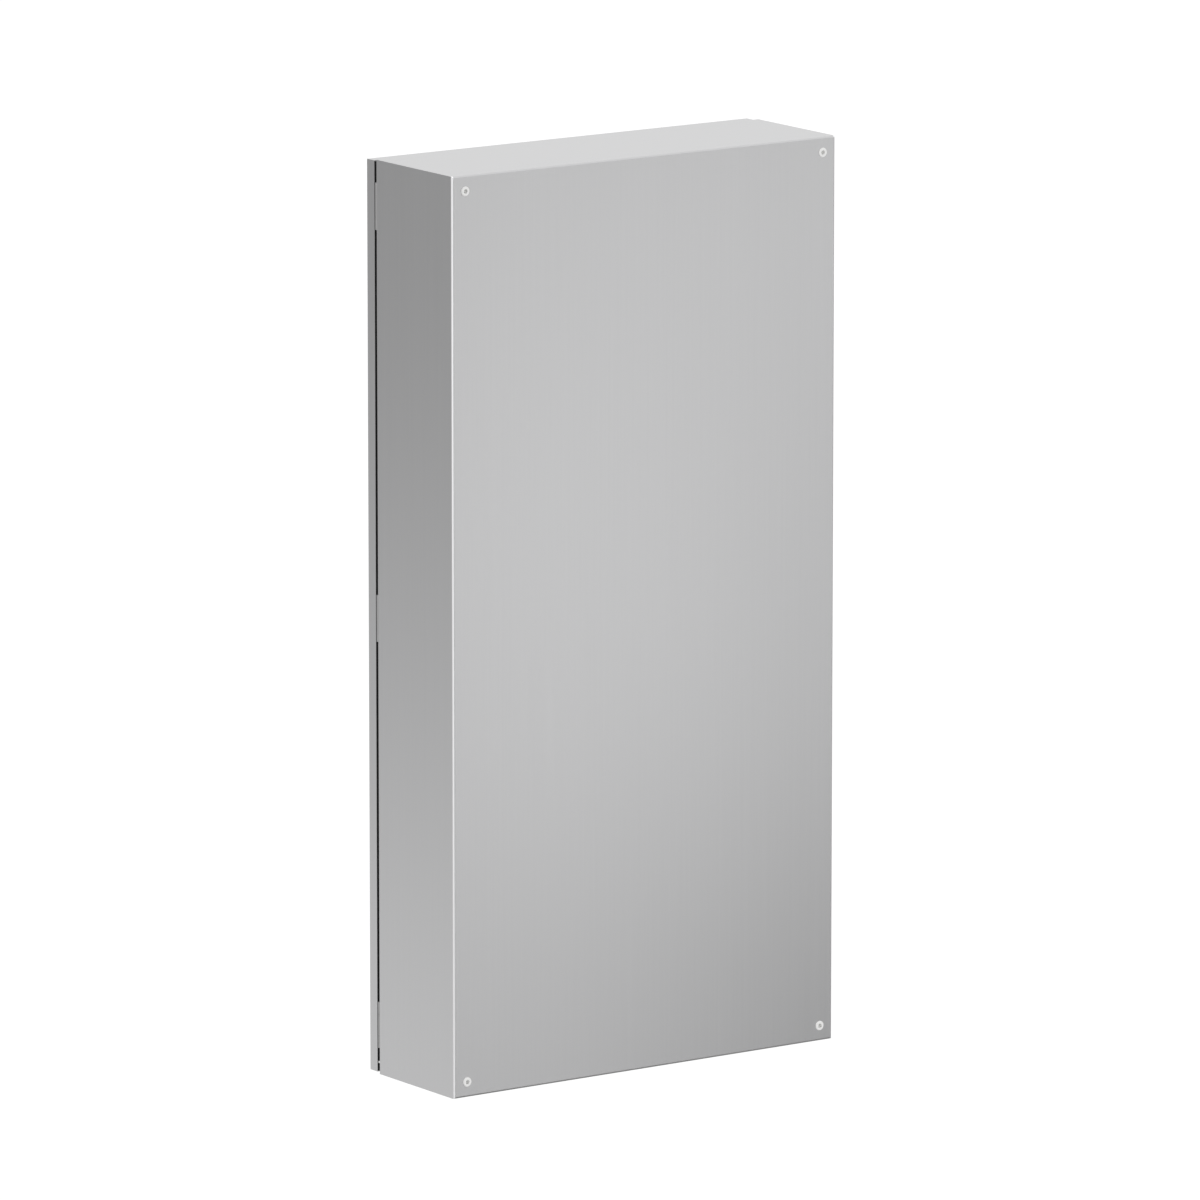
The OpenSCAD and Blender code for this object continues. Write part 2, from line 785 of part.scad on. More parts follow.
cabinet_body();
wall_bushes();
stiffener_plates();
strip_left_front();
strip_left_rear();
strip_right_front();
strip_right_rear();
shelf_lower();
shelf_middle();
shelf_upper();
shelf_pins();
pin_sleeves();
hinge_bars_body();
hinge_screws_body();
frame_leaf_lower();
frame_leaf_middle();
frame_leaf_upper();
door_leaf_lower();
door_leaf_middle();
door_leaf_upper();
hinge_pin_lower();
hinge_pin_middle();
hinge_pin_upper();
hinge_bars_door();
hinge_screws_door();
door_pan();
door_core();
mirror_tape();
mirror_glass();
mirror_blocks();
mirror_bead();
latch_housing();
latch_cap();
latch_plunger();
latch_magnet();
latch_spring();
latch_screws();
strike_plate();
strike_rivets();
door_buffers();
stop_pin();
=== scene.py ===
import math

import bmesh
import bpy
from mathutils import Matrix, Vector


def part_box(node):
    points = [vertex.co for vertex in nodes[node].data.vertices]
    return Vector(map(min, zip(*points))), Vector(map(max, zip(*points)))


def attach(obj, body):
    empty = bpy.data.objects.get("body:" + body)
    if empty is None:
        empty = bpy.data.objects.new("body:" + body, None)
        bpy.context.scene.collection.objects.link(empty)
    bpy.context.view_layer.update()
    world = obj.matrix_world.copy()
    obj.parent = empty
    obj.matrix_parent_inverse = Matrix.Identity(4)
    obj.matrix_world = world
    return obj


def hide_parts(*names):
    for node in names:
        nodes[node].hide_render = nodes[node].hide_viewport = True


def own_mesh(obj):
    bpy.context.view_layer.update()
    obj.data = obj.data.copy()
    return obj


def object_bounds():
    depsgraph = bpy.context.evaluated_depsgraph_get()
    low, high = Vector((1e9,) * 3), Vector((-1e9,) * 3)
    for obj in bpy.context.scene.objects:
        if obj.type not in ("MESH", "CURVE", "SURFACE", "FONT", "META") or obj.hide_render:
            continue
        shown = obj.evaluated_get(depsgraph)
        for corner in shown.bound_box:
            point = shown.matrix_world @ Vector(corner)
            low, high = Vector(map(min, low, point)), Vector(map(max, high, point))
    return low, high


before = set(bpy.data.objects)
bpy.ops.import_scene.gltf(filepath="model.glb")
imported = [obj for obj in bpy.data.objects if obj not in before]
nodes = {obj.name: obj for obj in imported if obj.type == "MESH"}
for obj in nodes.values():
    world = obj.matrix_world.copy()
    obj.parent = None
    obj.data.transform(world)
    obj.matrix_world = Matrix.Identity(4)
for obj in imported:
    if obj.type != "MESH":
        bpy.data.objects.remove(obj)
cad_low, cad_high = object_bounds()

# ---- Camera ----
# It looks at the cabinet from behind, from the hinge side and a little from above.
# Its lens is long and far away, so that the uprights stay almost parallel.
EYE = Vector((5.7235, 8.1447, 1.9549))
EYE_AZIMUTH = math.radians(145.131)
EYE_TILT = math.radians(11.033)
EYE_LENS = 353.81
EYE_SENSOR = 36.0
EYE_NEAREST = 0.1
EYE_FARTHEST = 200.0


def placed(name, data):
    """A new object in the scene."""
    made = bpy.data.objects.new(name, data)
    bpy.context.scene.collection.objects.link(made)
    return made


eye_data = bpy.data.cameras.new("eye")
eye_data.lens = EYE_LENS
eye_data.sensor_width = EYE_SENSOR
eye_data.clip_start = EYE_NEAREST
eye_data.clip_end = EYE_FARTHEST
eye = placed("eye", eye_data)
eye_back = Vector((
    math.sin(EYE_AZIMUTH) * math.cos(EYE_TILT),
    -math.cos(EYE_AZIMUTH) * math.cos(EYE_TILT),
    math.sin(EYE_TILT),
))
eye.location = EYE
eye.rotation_mode = "QUATERNION"
eye.rotation_quaternion = (-eye_back).to_track_quat("-Z", "Y")
bpy.context.scene.camera = eye
bpy.context.scene.view_settings.view_transform = "Standard"

# ---- Studio floor ----
# A wide pale floor well below the cabinet, which takes its shadow.
# From underneath it lets the light through. Mirror and metal do not show it.
FLOOR_DROP = 1.2
FLOOR_HALF = 40.0
FLOOR_PAINT = (0.62, 0.62, 0.62, 1.0)
FLOOR_GLOW = 0.45
WHITE = (1.0, 1.0, 1.0, 1.0)


def link(tree, source, target):
    """Joins one node's output to another's input."""
    tree.links.new(source, target)


def feed(tree, value, slot):
    """Gives an input a plain number or another node's output."""
    if isinstance(value, (int, float)):
        slot.default_value = value
    else:
        link(tree, value, slot)


def add(tree, kind, **settings):
    """A new node with its properties set; a key such as in_Line_Width sets the input Line Width."""
    node = tree.nodes.new(kind)
    for key, value in settings.items():
        if key.startswith("in_"):
            node.inputs[key[3:].replace("_", " ")].default_value = value
        else:
            setattr(node, key, value)
    return node


def reckon(tree, a, b, operation="ADD"):
    """A Math node over two outputs or plain numbers; gives its output."""
    node = add(tree, "ShaderNodeMath", operation=operation)
    feed(tree, a, node.inputs[0])
    feed(tree, b, node.inputs[1])
    return node.outputs[0]


def mix_shaders(tree, share, first, second):
    """A Mix Shader node; gives its output."""
    node = add(tree, "ShaderNodeMixShader")
    link(tree, share, node.inputs[0])
    link(tree, first, node.inputs[1])
    link(tree, second, node.inputs[2])
    return node.outputs[0]


floor_z = cad_low.z - FLOOR_DROP
floor_mesh = bpy.data.meshes.new("studio_floor")
floor_mesh.from_pydata(
    [(x * FLOOR_HALF, y * FLOOR_HALF, floor_z) for x, y in ((-1, -1), (1, -1), (1, 1), (-1, 1))],
    [], [(0, 1, 2, 3)],
)
studio_floor = placed("studio_floor", floor_mesh)
studio_floor.visible_glossy = False

paper = bpy.data.materials.new("studio_paper")
paper.use_nodes = True
tree = paper.node_tree
tree.nodes.clear()
seen = add(tree, "ShaderNodeLightPath")
matte = add(tree, "ShaderNodeBsdfDiffuse", in_Color=FLOOR_PAINT)
glow = add(tree, "ShaderNodeEmission", in_Color=WHITE)
link(tree, reckon(tree, seen.outputs["Is Camera Ray"], FLOOR_GLOW, "MULTIPLY"), glow.inputs["Strength"])
both = add(tree, "ShaderNodeAddShader")
link(tree, matte.outputs[0], both.inputs[0])
link(tree, glow.outputs[0], both.inputs[1])
below = add(tree, "ShaderNodeNewGeometry").outputs["Backfacing"]
clear = add(tree, "ShaderNodeBsdfTransparent").outputs[0]
link(tree, mix_shaders(tree, below, both.outputs[0], clear),
     add(tree, "ShaderNodeOutputMaterial").inputs["Surface"])
floor_mesh.materials.append(paper)

# ---- Reflection cards ----
# Three upright glowing cards that only mirror and metal show, so that neither is ever one flat tone.
# The tone of each changes along one direction, and each thins out to nothing at its border.
CARD_BORDER = 0.22


def along(tree, place, direction):
    """How far a place lies along a direction."""
    node = add(tree, "ShaderNodeVectorMath", operation="DOT_PRODUCT")
    link(tree, place, node.inputs[0])
    node.inputs[1].default_value = direction
    return node.outputs["Value"]


def ramp(tree, value, value_range, result_range, interpolation="SMOOTHSTEP"):
    """A Map Range node between two ranges; gives its output."""
    node = add(tree, "ShaderNodeMapRange", interpolation_type=interpolation)
    for label, number in zip(("From Min", "From Max", "To Min", "To Max"), (*value_range, *result_range)):
        node.inputs[label].default_value = number
    link(tree, value, node.inputs["Value"])
    return node.outputs[0]


def paper_card(name, left, right, levels, towards, reach, tones):
    """A card from left to right, both (x, y), whose tone goes through tones over a reach along towards."""
    low, high = levels
    across = (Vector(right) - Vector(left)).normalized()
    mesh = bpy.data.meshes.new(name)
    mesh.from_pydata([(*left, low), (*right, low), (*right, high), (*left, high)], [], [(0, 1, 2, 3)])
    card = placed(name, mesh)
    card.visible_camera = False
    card.visible_diffuse = False
    card.visible_shadow = False
    material = bpy.data.materials.new(name + "_paper")
    material.use_nodes = True
    tree = material.node_tree
    tree.nodes.clear()
    spot = add(tree, "ShaderNodeTexCoord").outputs["Object"]

    def inside(direction, start, end):
        """1 on the card and falling to 0 over its border, between two ends along a direction."""
        half = (end - start) / 2
        off_middle = reckon(tree, along(tree, spot, direction), (start + end) / 2, "SUBTRACT")
        return ramp(tree, reckon(tree, off_middle, 0.0, "ABSOLUTE"), (half - CARD_BORDER, half), (1.0, 0.0))

    kept = reckon(tree, inside((*across, 0.0), Vector(left).dot(across), Vector(right).dot(across)),
                  inside((0.0, 0.0, 1.0), low, high), "MULTIPLY")
    glow = add(tree, "ShaderNodeEmission", in_Color=WHITE)
    link(tree, ramp(tree, along(tree, spot, towards), reach, tones), glow.inputs["Strength"])
    clear = add(tree, "ShaderNodeBsdfTransparent")
    link(tree, mix_shaders(tree, kept, clear.outputs[0], glow.outputs[0]),
         add(tree, "ShaderNodeOutputMaterial").inputs["Surface"])
    mesh.materials.append(material)


# In front of the mirror, lighter towards its upper left.
paper_card("front_card", left=(-1.51, -1.50), right=(0.41, -1.50), levels=(-1.11, 0.36),
           towards=(-0.55, 0.0, 0.84), reach=(-0.45, 0.25), tones=(0.30, 0.92))
# In front of the hinge side, lighter towards the floor.
paper_card("side_card", left=(0.61, -1.65), right=(1.49, -0.95), levels=(-1.31, 0.31),
           towards=(0.0, 0.0, -1.0), reach=(-0.22, 0.92), tones=(0.43, 1.00))
# Behind the hinge side, within the window's light, lighter towards its top.
paper_card("window_card", left=(1.98, 0.04), right=(0.73, 1.84), levels=(-1.45, 0.75),
           towards=(0.0, 0.0, 1.0), reach=(-0.95, 0.00), tones=(0.78, 1.00))

# ---- Room ----
# An even soft light on everything, with a white backdrop that is also seen through glass.
# What mirror and metal show of it goes by direction: grey behind the cabinet, less so in front of it,
# white above, and a window behind the hinge side.
ROOM_SOFT = 0.97
ROOM_FRONT = 0.46
ROOM_BACK = 0.32
ROOM_FRONT_TO_BACK = (-0.9, 0.7)
ROOM_TOP = 1.11
ROOM_TOP_EDGE = (0.0, 0.20)
ROOM_WINDOW = 0.88
WINDOW_TOWARDS = (0.82, 0.57, 0.0)
WINDOW_EDGE = (0.55, 0.85)


def blend(tree, share, start, end):
    """A Mix node from one tone to another, each an output or a plain number; gives its output."""
    node = add(tree, "ShaderNodeMix", data_type="FLOAT")
    link(tree, share, node.inputs[0])
    feed(tree, start, node.inputs[2])
    feed(tree, end, node.inputs[3])
    return node.outputs[0]


room = bpy.data.worlds.new("studio_room")
bpy.context.scene.world = room
room.use_nodes = True
tree = room.node_tree
tree.nodes.clear()
heading = add(tree, "ShaderNodeTexCoord").outputs["Generated"]
heading_xyz = add(tree, "ShaderNodeSeparateXYZ")
link(tree, heading, heading_xyz.inputs[0])
walls = ramp(tree, heading_xyz.outputs["Y"], ROOM_FRONT_TO_BACK, (ROOM_FRONT, ROOM_BACK))
under_ceiling = ramp(tree, heading_xyz.outputs["Z"], ROOM_TOP_EDGE, (0.0, 1.0))
in_window = ramp(tree, along(tree, heading, WINDOW_TOWARDS), WINDOW_EDGE, (0.0, 1.0))
shown = blend(tree, in_window, blend(tree, under_ceiling, walls, ROOM_TOP), ROOM_WINDOW)
seen = add(tree, "ShaderNodeLightPath")
lighting = blend(tree, seen.outputs["Is Glossy Ray"], ROOM_SOFT, shown)
backdrop_seen = reckon(tree, seen.outputs["Is Camera Ray"], seen.outputs["Is Transmission Ray"], "MAXIMUM")
backdrop = add(tree, "ShaderNodeBackground", in_Color=WHITE)
link(tree, blend(tree, backdrop_seen, lighting, 1.0), backdrop.inputs["Strength"])
link(tree, backdrop.outputs[0], add(tree, "ShaderNodeOutputWorld").inputs["Surface"])

# ---- Soft boxes ----
# Four soft boxes behind the cabinet, which its back shows as one broad light that fades downwards.
# Each has its place, its width and height in metres, and how bright its face is, where 1 is white.
SOFT_BOXES = {
    "back_top_box": ((-1.10, 1.60, 0.20), 1.2, 0.5, 0.76),
    "back_left_box": ((-0.85, 1.60, -0.35), 0.5, 0.6, 0.87),
    "back_right_box": ((-1.35, 1.60, -0.35), 0.5, 0.6, 0.63),
    "back_low_box": ((-0.85, 1.60, -0.95), 0.5, 0.6, 0.80),
}
for name, (place, width, height, tone) in SOFT_BOXES.items():
    lamp = bpy.data.lights.new(name, "AREA")
    lamp.shape = "RECTANGLE"
    lamp.size = width
    lamp.size_y = height
    lamp.energy = tone * math.pi * width * height
    box = placed(name, lamp)
    box.location = place
    box.rotation_mode = "QUATERNION"
    box.rotation_quaternion = (-Vector(place)).to_track_quat("-Z", "Y")
    box.visible_camera = False

# ---- Body ----
# One tray of 1 mm stainless sheet, folded at the back and round the opening, its sharp corners welded.
# Its satin finish is ground along its length, so fine straight lines run up the back and the sides.
# The two long folds at the back are painted lighter than the flat sheet: a painted highlight along those
# edges.
LEVEL_FACE = 0.75
FINE_LINES = 0.65
BROAD_LINES = 0.35
BROAD_SCALE = 0.22
LINE_GAIN = 4.0
CLOUDS = 0.7
SPECKS = 0.3
SPOT_GAIN = 3.0
METAL = {"Metallic": 1.0}
FOLD_R = 0.0017
FOLD_BLEND = 0.0002
FOLD_HIGHLIGHT_GAIN = 0.70


def pattern_group(name, sizes):
    """An empty pattern with named inputs; gives the group, what it is given and what it has to make."""
    group = bpy.data.node_groups.new(name, "ShaderNodeTree")
    face = group.interface
    for label in (*sizes, "Contrast", "Base Roughness", "Roughness Spread"):
        face.new_socket(name=label, in_out="INPUT", socket_type="NodeSocketFloat")
    face.new_socket(name="Tint", in_out="INPUT", socket_type="NodeSocketColor")
    face.new_socket(name="Color", in_out="OUTPUT", socket_type="NodeSocketColor")
    face.new_socket(name="Roughness", in_out="OUTPUT", socket_type="NodeSocketFloat")
    face.new_socket(name="Height", in_out="OUTPUT", socket_type="NodeSocketFloat")
    return group, add(group, "NodeGroupInput").outputs, add(group, "NodeGroupOutput").inputs


def shaded(tree, colour, shade):
    """A colour made lighter or darker by a factor."""
    node = add(tree, "ShaderNodeVectorMath", operation="SCALE")
    link(tree, colour, node.inputs[0])
    link(tree, shade, node.inputs["Scale"])
    return node.outputs[0]


def give_pattern(group, given, made, uneven, height):
    """Shades the tint and spreads the roughness by an unevenness that lies round 0."""
    shade = reckon(group, reckon(group, uneven, given["Contrast"], "MULTIPLY"), 1.0)
    link(group, shaded(group, given["Tint"], shade), made["Color"])
    spread = reckon(group, uneven, given["Roughness Spread"], "MULTIPLY")
    link(group, reckon(group, spread, given["Base Roughness"]), made["Roughness"])
    link(group, height, made["Height"])


def grain_group():
    """Satin grinding: long fine lines along Z, or along X on faces that look up or down."""
    group, given, made = pattern_group("satin_grain", ("Line Width", "Line Length"))
    xyz = add(group, "ShaderNodeSeparateXYZ")
    link(group, add(group, "ShaderNodeTexCoord").outputs["Object"], xyz.inputs[0])
    normal = add(group, "ShaderNodeSeparateXYZ")
    link(group, add(group, "ShaderNodeNewGeometry").outputs["Normal"], normal.inputs[0])
    upwards = reckon(group, normal.outputs["Z"], 0.0, "ABSOLUTE")
    per_width = reckon(group, 1.0, given["Line Width"], "DIVIDE")
    per_length = reckon(group, 1.0, given["Line Length"], "DIVIDE")

    def stretched(scales):
        """The place, scaled on each axis."""
        joined = add(group, "ShaderNodeCombineXYZ")
        for slot, source, scale in zip(joined.inputs, xyz.outputs, scales):
            link(group, reckon(group, source, scale, "MULTIPLY"), slot)
        return joined.outputs[0]

    where = add(group, "ShaderNodeMix", data_type="VECTOR")
    link(group, reckon(group, upwards, LEVEL_FACE, "GREATER_THAN"), where.inputs[0])
    link(group, stretched((per_width, per_width, per_length)), where.inputs[4])
    link(group, stretched((per_length, per_width, per_width)), where.inputs[5])

    def streaks(scale, detail, share):
        """Noise drawn out into lines, weighted by its share."""
        noise = add(group, "ShaderNodeTexNoise", in_Scale=scale, in_Detail=detail, in_Roughness=0.65)
        link(group, where.outputs[1], noise.inputs["Vector"])
        return reckon(group, noise.outputs[0], share, "MULTIPLY")

    streaked = reckon(group, streaks(1.0, 3.0, FINE_LINES), streaks(BROAD_SCALE, 2.0, BROAD_LINES))
    lines = reckon(group, reckon(group, streaked, 0.5, "SUBTRACT"), LINE_GAIN, "MULTIPLY")
    give_pattern(group, given, made, lines, lines)
    return group


def mottle_group():
    """The uneven skin of moulded, cast, cut or plated stuff: soft clouds with fine specks over them."""
    group, given, made = pattern_group("skin_mottle", ("Cloud Size", "Speck Size"))
    spot = add(group, "ShaderNodeTexCoord").outputs["Object"]

    def spots(size, detail):
        """Noise of one size, round 0."""
        noise = add(group, "ShaderNodeTexNoise", in_Detail=detail, in_Roughness=0.55)
        link(group, spot, noise.inputs["Vector"])
        link(group, reckon(group, 1.0, size, "DIVIDE"), noise.inputs["Scale"])
        return reckon(group, reckon(group, noise.outputs[0], 0.5, "SUBTRACT"), SPOT_GAIN, "MULTIPLY")

    specks = spots(given["Speck Size"], 1.0)
    uneven = reckon(group, reckon(group, spots(given["Cloud Size"], 3.0), CLOUDS, "MULTIPLY"),
                    reckon(group, specks, SPECKS, "MULTIPLY"))
    give_pattern(group, given, made, uneven, specks)
    return group


satin_grain = grain_group()
skin_mottle = mottle_group()


def finish(name, pattern, tint, roughness, bump, fixed, **pattern_values):
    """A material with one of the two patterns; bump is (strength, depth), and fixed sets plain sockets."""
    material = bpy.data.materials.new(name)
    material.use_nodes = True
    tree = material.node_tree
    shader = tree.nodes["Principled BSDF"]
    for socket, value in fixed.items():
        shader.inputs[socket].default_value = value
    skin = add(tree, "ShaderNodeGroup", node_tree=pattern)
    skin.inputs["Tint"].default_value = (*tint, 1.0)
    skin.inputs["Base Roughness"].default_value = roughness
    for socket, value in pattern_values.items():
        skin.inputs[socket.replace("_", " ").title()].default_value = value
    link(tree, skin.outputs["Color"], shader.inputs["Base Color"])
    link(tree, skin.outputs["Roughness"], shader.inputs["Roughness"])
    strength, depth = bump
    raised = add(tree, "ShaderNodeBump", in_Strength=strength, in_Distance=depth)
    link(tree, skin.outputs["Height"], raised.inputs["Height"])
    link(tree, raised.outputs[0], shader.inputs["Normal"])
    return material


def dress(material, *node_names):
    """Gives carried-over solids a material."""
    for node_name in node_names:
        mesh = nodes[node_name].data
        mesh.materials.clear()
        mesh.materials.append(material)


satin_sheet = finish("satin_sheet", satin_grain, (0.56, 0.56, 0.565), 0.32, (0.05, 0.00002), METAL,
                     line_width=0.0006, line_length=0.12, contrast=0.024, roughness_spread=0.034)
body_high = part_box("cabinet_body")[1]
tree = satin_sheet.node_tree
xyz = add(tree, "ShaderNodeSeparateXYZ")
link(tree, add(tree, "ShaderNodeTexCoord").outputs["Object"], xyz.inputs[0])
# Painted highlight: the sheet's colour is made lighter within the two rounded folds at the back.
fold_x, fold_y = body_high.x - FOLD_R, body_high.y - FOLD_R
off_centre = reckon(tree, xyz.outputs["X"], 0.0, "ABSOLUTE")
near_side = ramp(tree, off_centre, (fold_x, fold_x + FOLD_BLEND), (0.0, 1.0), "LINEAR")
near_back = ramp(tree, xyz.outputs["Y"], (fold_y, fold_y + FOLD_BLEND), (0.0, 1.0), "LINEAR")
painted_fold_highlight = reckon(tree, reckon(tree, near_side, near_back, "MULTIPLY"), FOLD_HIGHLIGHT_GAIN, "MULTIPLY")
shader = tree.nodes["Principled BSDF"]
plain_colour = shader.inputs["Base Color"].links[0].from_socket
link(tree, shaded(tree, plain_colour, reckon(tree, painted_fold_highlight, 1.0)), shader.inputs["Base Color"])
dress(satin_sheet, "cabinet_body")

# ---- Wall fixings ----
# Four moulded bushes of white nylon, pressed through the back until they snap over.
# Each has a thin skin across its bore, which keeps dust out until the wall screw breaks through it.
# A square plate of plain sheet stiffens the back behind each.
BORE_R = 0.0019
SKIN_GRIP = 0.00003
SKIN_DEPTH = 0.0030
SKIN_T = 0.0002
SKIN_FILLET = 0.0003
SKIN_SIDES = 48
POINT_R = 1e-6
SAME_POINT = 1e-7
SAME_CAD_POINT = 1e-6
TO_WALL = (0.0, 1.0, 0.0)
FROM_WALL = (0.0, -1.0, 0.0)


def ring_loft(rings, closed_ends=True):
    """A mesh skinned over rings of points that all have the same number of points."""
    shell = bmesh.new()
    loops = [[shell.verts.new(point) for point in ring] for ring in rings]
    count = len(rings[0])
    for low, high in zip(loops, loops[1:]):
        for k in range(count):
            shell.faces.new((low[k], low[(k + 1) % count], high[(k + 1) % count], high[k]))
    if closed_ends:
        shell.faces.new(reversed(loops[0]))
        shell.faces.new(loops[-1])
    return shell


def settle(shell, name, sharp_degrees=35.0):
    """Turns a bmesh into a finished mesh: doubles merged, normals out, smooth but for its sharp edges."""
    bmesh.ops.remove_doubles(shell, verts=shell.verts, dist=SAME_POINT)
    bmesh.ops.recalc_face_normals(shell, faces=shell.faces)
    mesh = bpy.data.meshes.new(name)
    shell.to_mesh(mesh)
    shell.free()
    mesh.shade_smooth()
    mesh.set_sharp_from_angle(angle=math.radians(sharp_degrees))
    return mesh


def circle(radius, height, count):
    """Points of a level circle about Z."""
    return [(radius * math.cos(math.tau * k / count), radius * math.sin(math.tau * k / count), height)
            for k in range(count)]


def rounded(start, end, steps=4):
    """Points of a quarter ellipse between two (radius, height) points, bulging away from the axis."""
    (outer, foot), (inner, top) = start, end
    return [(inner + (outer - inner) * math.cos(math.pi / 2 * k / steps),
             foot + (top - foot) * math.sin(math.pi / 2 * k / steps)) for k in range(steps + 1)]


def turned(name, profile, count=32):
    """A turned shape about Z from (radius, height) pairs."""
    return settle(ring_loft([circle(max(r, POINT_R), z, count) for r, z in profile]), name)


def seats_tree():
    """Sets a copy of one master on every point, its axis along the point's facing, its turn by chance."""
    tree = bpy.data.node_groups.new("set_in_place", "GeometryNodeTree")
    face = tree.interface
    for label, kind in (("Seats", "Geometry"), ("Master", "Object"), ("Finish", "Material"),
                        ("Largest Turn", "Float"), ("Seed", "Int")):
        face.new_socket(name=label, in_out="INPUT", socket_type="NodeSocket" + kind)
    face.new_socket(name="Copies", in_out="OUTPUT", socket_type="NodeSocketGeometry")
    given = add(tree, "NodeGroupInput").outputs
    facing = add(tree, "GeometryNodeInputNamedAttribute", data_type="FLOAT_VECTOR", in_Name="facing")
    stand = add(tree, "FunctionNodeAlignRotationToVector", axis="Z")
    link(tree, facing.outputs[0], stand.inputs["Vector"])
    chance = add(tree, "FunctionNodeRandomValue", data_type="FLOAT")
    link(tree, given["Largest Turn"], chance.inputs[3])
    link(tree, given["Seed"], chance.inputs["Seed"])
    turn = add(tree, "FunctionNodeAxisAngleToRotation", in_Axis=(0.0, 0.0, 1.0))
    link(tree, chance.outputs[1], turn.inputs["Angle"])
    twist = add(tree, "FunctionNodeRotateRotation", rotation_space="LOCAL")
    link(tree, stand.outputs[0], twist.inputs[0])
    link(tree, turn.outputs[0], twist.inputs[1])
    master = add(tree, "GeometryNodeObjectInfo", in_As_Instance=True)
    link(tree, given["Master"], master.inputs["Object"])
    place = add(tree, "GeometryNodeInstanceOnPoints")
    link(tree, given["Seats"], place.inputs["Points"])
    link(tree, master.outputs["Geometry"], place.inputs["Instance"])
    link(tree, twist.outputs[0], place.inputs["Rotation"])
    real = add(tree, "GeometryNodeRealizeInstances")
    link(tree, place.outputs[0], real.inputs[0])
    paint = add(tree, "GeometryNodeSetMaterial")
    link(tree, real.outputs[0], paint.inputs["Geometry"])
    link(tree, given["Finish"], paint.inputs["Material"])
    link(tree, paint.outputs[0], add(tree, "NodeGroupOutput").inputs[0])
    return tree


set_in_place = seats_tree()


def copies(name, master_mesh, seats, material, largest_turn=0.0, seed=0):
    """The mesh of all copies of a master, one on each (place, facing) of seats."""
    points = bpy.data.meshes.new(name + "_seats")
    points.from_pydata([place for place, facing in seats], [], [])
    facings = points.attributes.new("facing", "FLOAT_VECTOR", "POINT")
    for spot, (place, facing) in zip(facings.data, seats):
        spot.vector = facing
    holder = placed(name + "_holder", points)
    master = bpy.data.objects.new(name + "_master", master_mesh)
    modifier = holder.modifiers.new("seats", "NODES")
    modifier.node_group = set_in_place
    inputs = {item.name: item.identifier for item in set_in_place.interface.items_tree
              if item.in_out == "INPUT"}
    modifier[inputs["Master"]] = master
    modifier[inputs["Finish"]] = material
    modifier[inputs["Largest Turn"]] = largest_turn
    modifier[inputs["Seed"]] = seed
    graph = bpy.context.evaluated_depsgraph_get()
    mesh = bpy.data.meshes.new_from_object(holder.evaluated_get(graph), depsgraph=graph)
    mesh.name = name
    bpy.data.objects.remove(holder)
    bpy.data.objects.remove(master)
    return mesh


def loose_parts(node_name):
    """The (lowest, highest) corners of each separate solid of a carried-over node."""
    shell = bmesh.new()
    shell.from_mesh(nodes[node_name].data)
    bmesh.ops.remove_doubles(shell, verts=shell.verts, dist=SAME_CAD_POINT)
    waiting = set(shell.verts)
    parts = []
    while waiting:
        reached = [waiting.pop()]
        for vert in reached:
            for edge in vert.link_edges:
                other = edge.other_vert(vert)
                if other in waiting:
                    waiting.discard(other)
                    reached.append(other)
        corners = list(zip(*(vert.co for vert in reached)))
        parts.append((Vector([min(c) for c in corners]), Vector([max(c) for c in corners])))
    shell.free()
    return sorted(parts, key=lambda part: (round(part[0].z, 5), round(part[0].y, 5), part[0].x))


def seat(part, facing, sunk=0.0):
    """A copy's (place, facing): on the end of a loose part that looks along facing, or sunk below it."""
    low, high = part
    middle = (low + high) / 2
    facing = Vector(facing)
    half_length = abs((high - middle).dot(facing))
    return middle + facing * (half_length - sunk), facing


def piece(name, mesh, body, replaced=()):
    """A finished mesh as a piece of one body; the carried-over nodes it replaces are hidden."""
    made = placed(name, mesh)
    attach(made, body)
    if replaced:
        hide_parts(*replaced)
    return made


white_nylon = finish("white_nylon", skin_mottle, (0.88, 0.88, 0.87), 0.38, (0.15, 0.00003), {},
                     cloud_size=0.02, speck_size=0.0003, contrast=0.03, roughness_spread=0.06)
dress(white_nylon, "wall_bushes")
skin_back = -SKIN_DEPTH - SKIN_T
grip_r = BORE_R + SKIN_GRIP
skin_mesh = turned("bush_skin", [
    (0.0, skin_back), (BORE_R - SKIN_FILLET, skin_back), (BORE_R, skin_back - SKIN_FILLET),
    (grip_r, skin_back - SKIN_FILLET), (grip_r, -SKIN_DEPTH + SKIN_FILLET),
    *rounded((BORE_R, -SKIN_DEPTH + SKIN_FILLET), (BORE_R - SKIN_FILLET, -SKIN_DEPTH)),
    (0.0, -SKIN_DEPTH)], SKIN_SIDES)
seats = [seat(part, TO_WALL) for part in loose_parts("wall_bushes")]
piece("bush_skins", copies("bush_skins", skin_mesh, seats, white_nylon), "cabinet")
mill_steel = finish("mill_steel", skin_mottle, (0.52, 0.52, 0.525), 0.38, (0.06, 0.00002), METAL,
                    cloud_size=0.015, speck_size=0.0003, contrast=0.06, roughness_spread=0.08)
dress(mill_steel, "stiffener_plates")

# ---- Shelf strips ----
# Four slotted channels of the same satin sheet, tack-welded upright to the side walls, two on each side.
# The tacks are short beads along the channels' edges, left a little straw-coloured by the heat.
STRIPS = ("strip_left_front", "strip_left_rear", "strip_right_front", "strip_right_rear")
TACK_LENGTH = 0.009
TACK_WIDTH = 0.0016
TACK_PITCH = 0.118
TACK_RIPPLES = 7
TACK_RIPPLE = 0.10
TACK_RINGS = 28
TACK_SIDES = 10
TACK_TIP_R = 1e-5

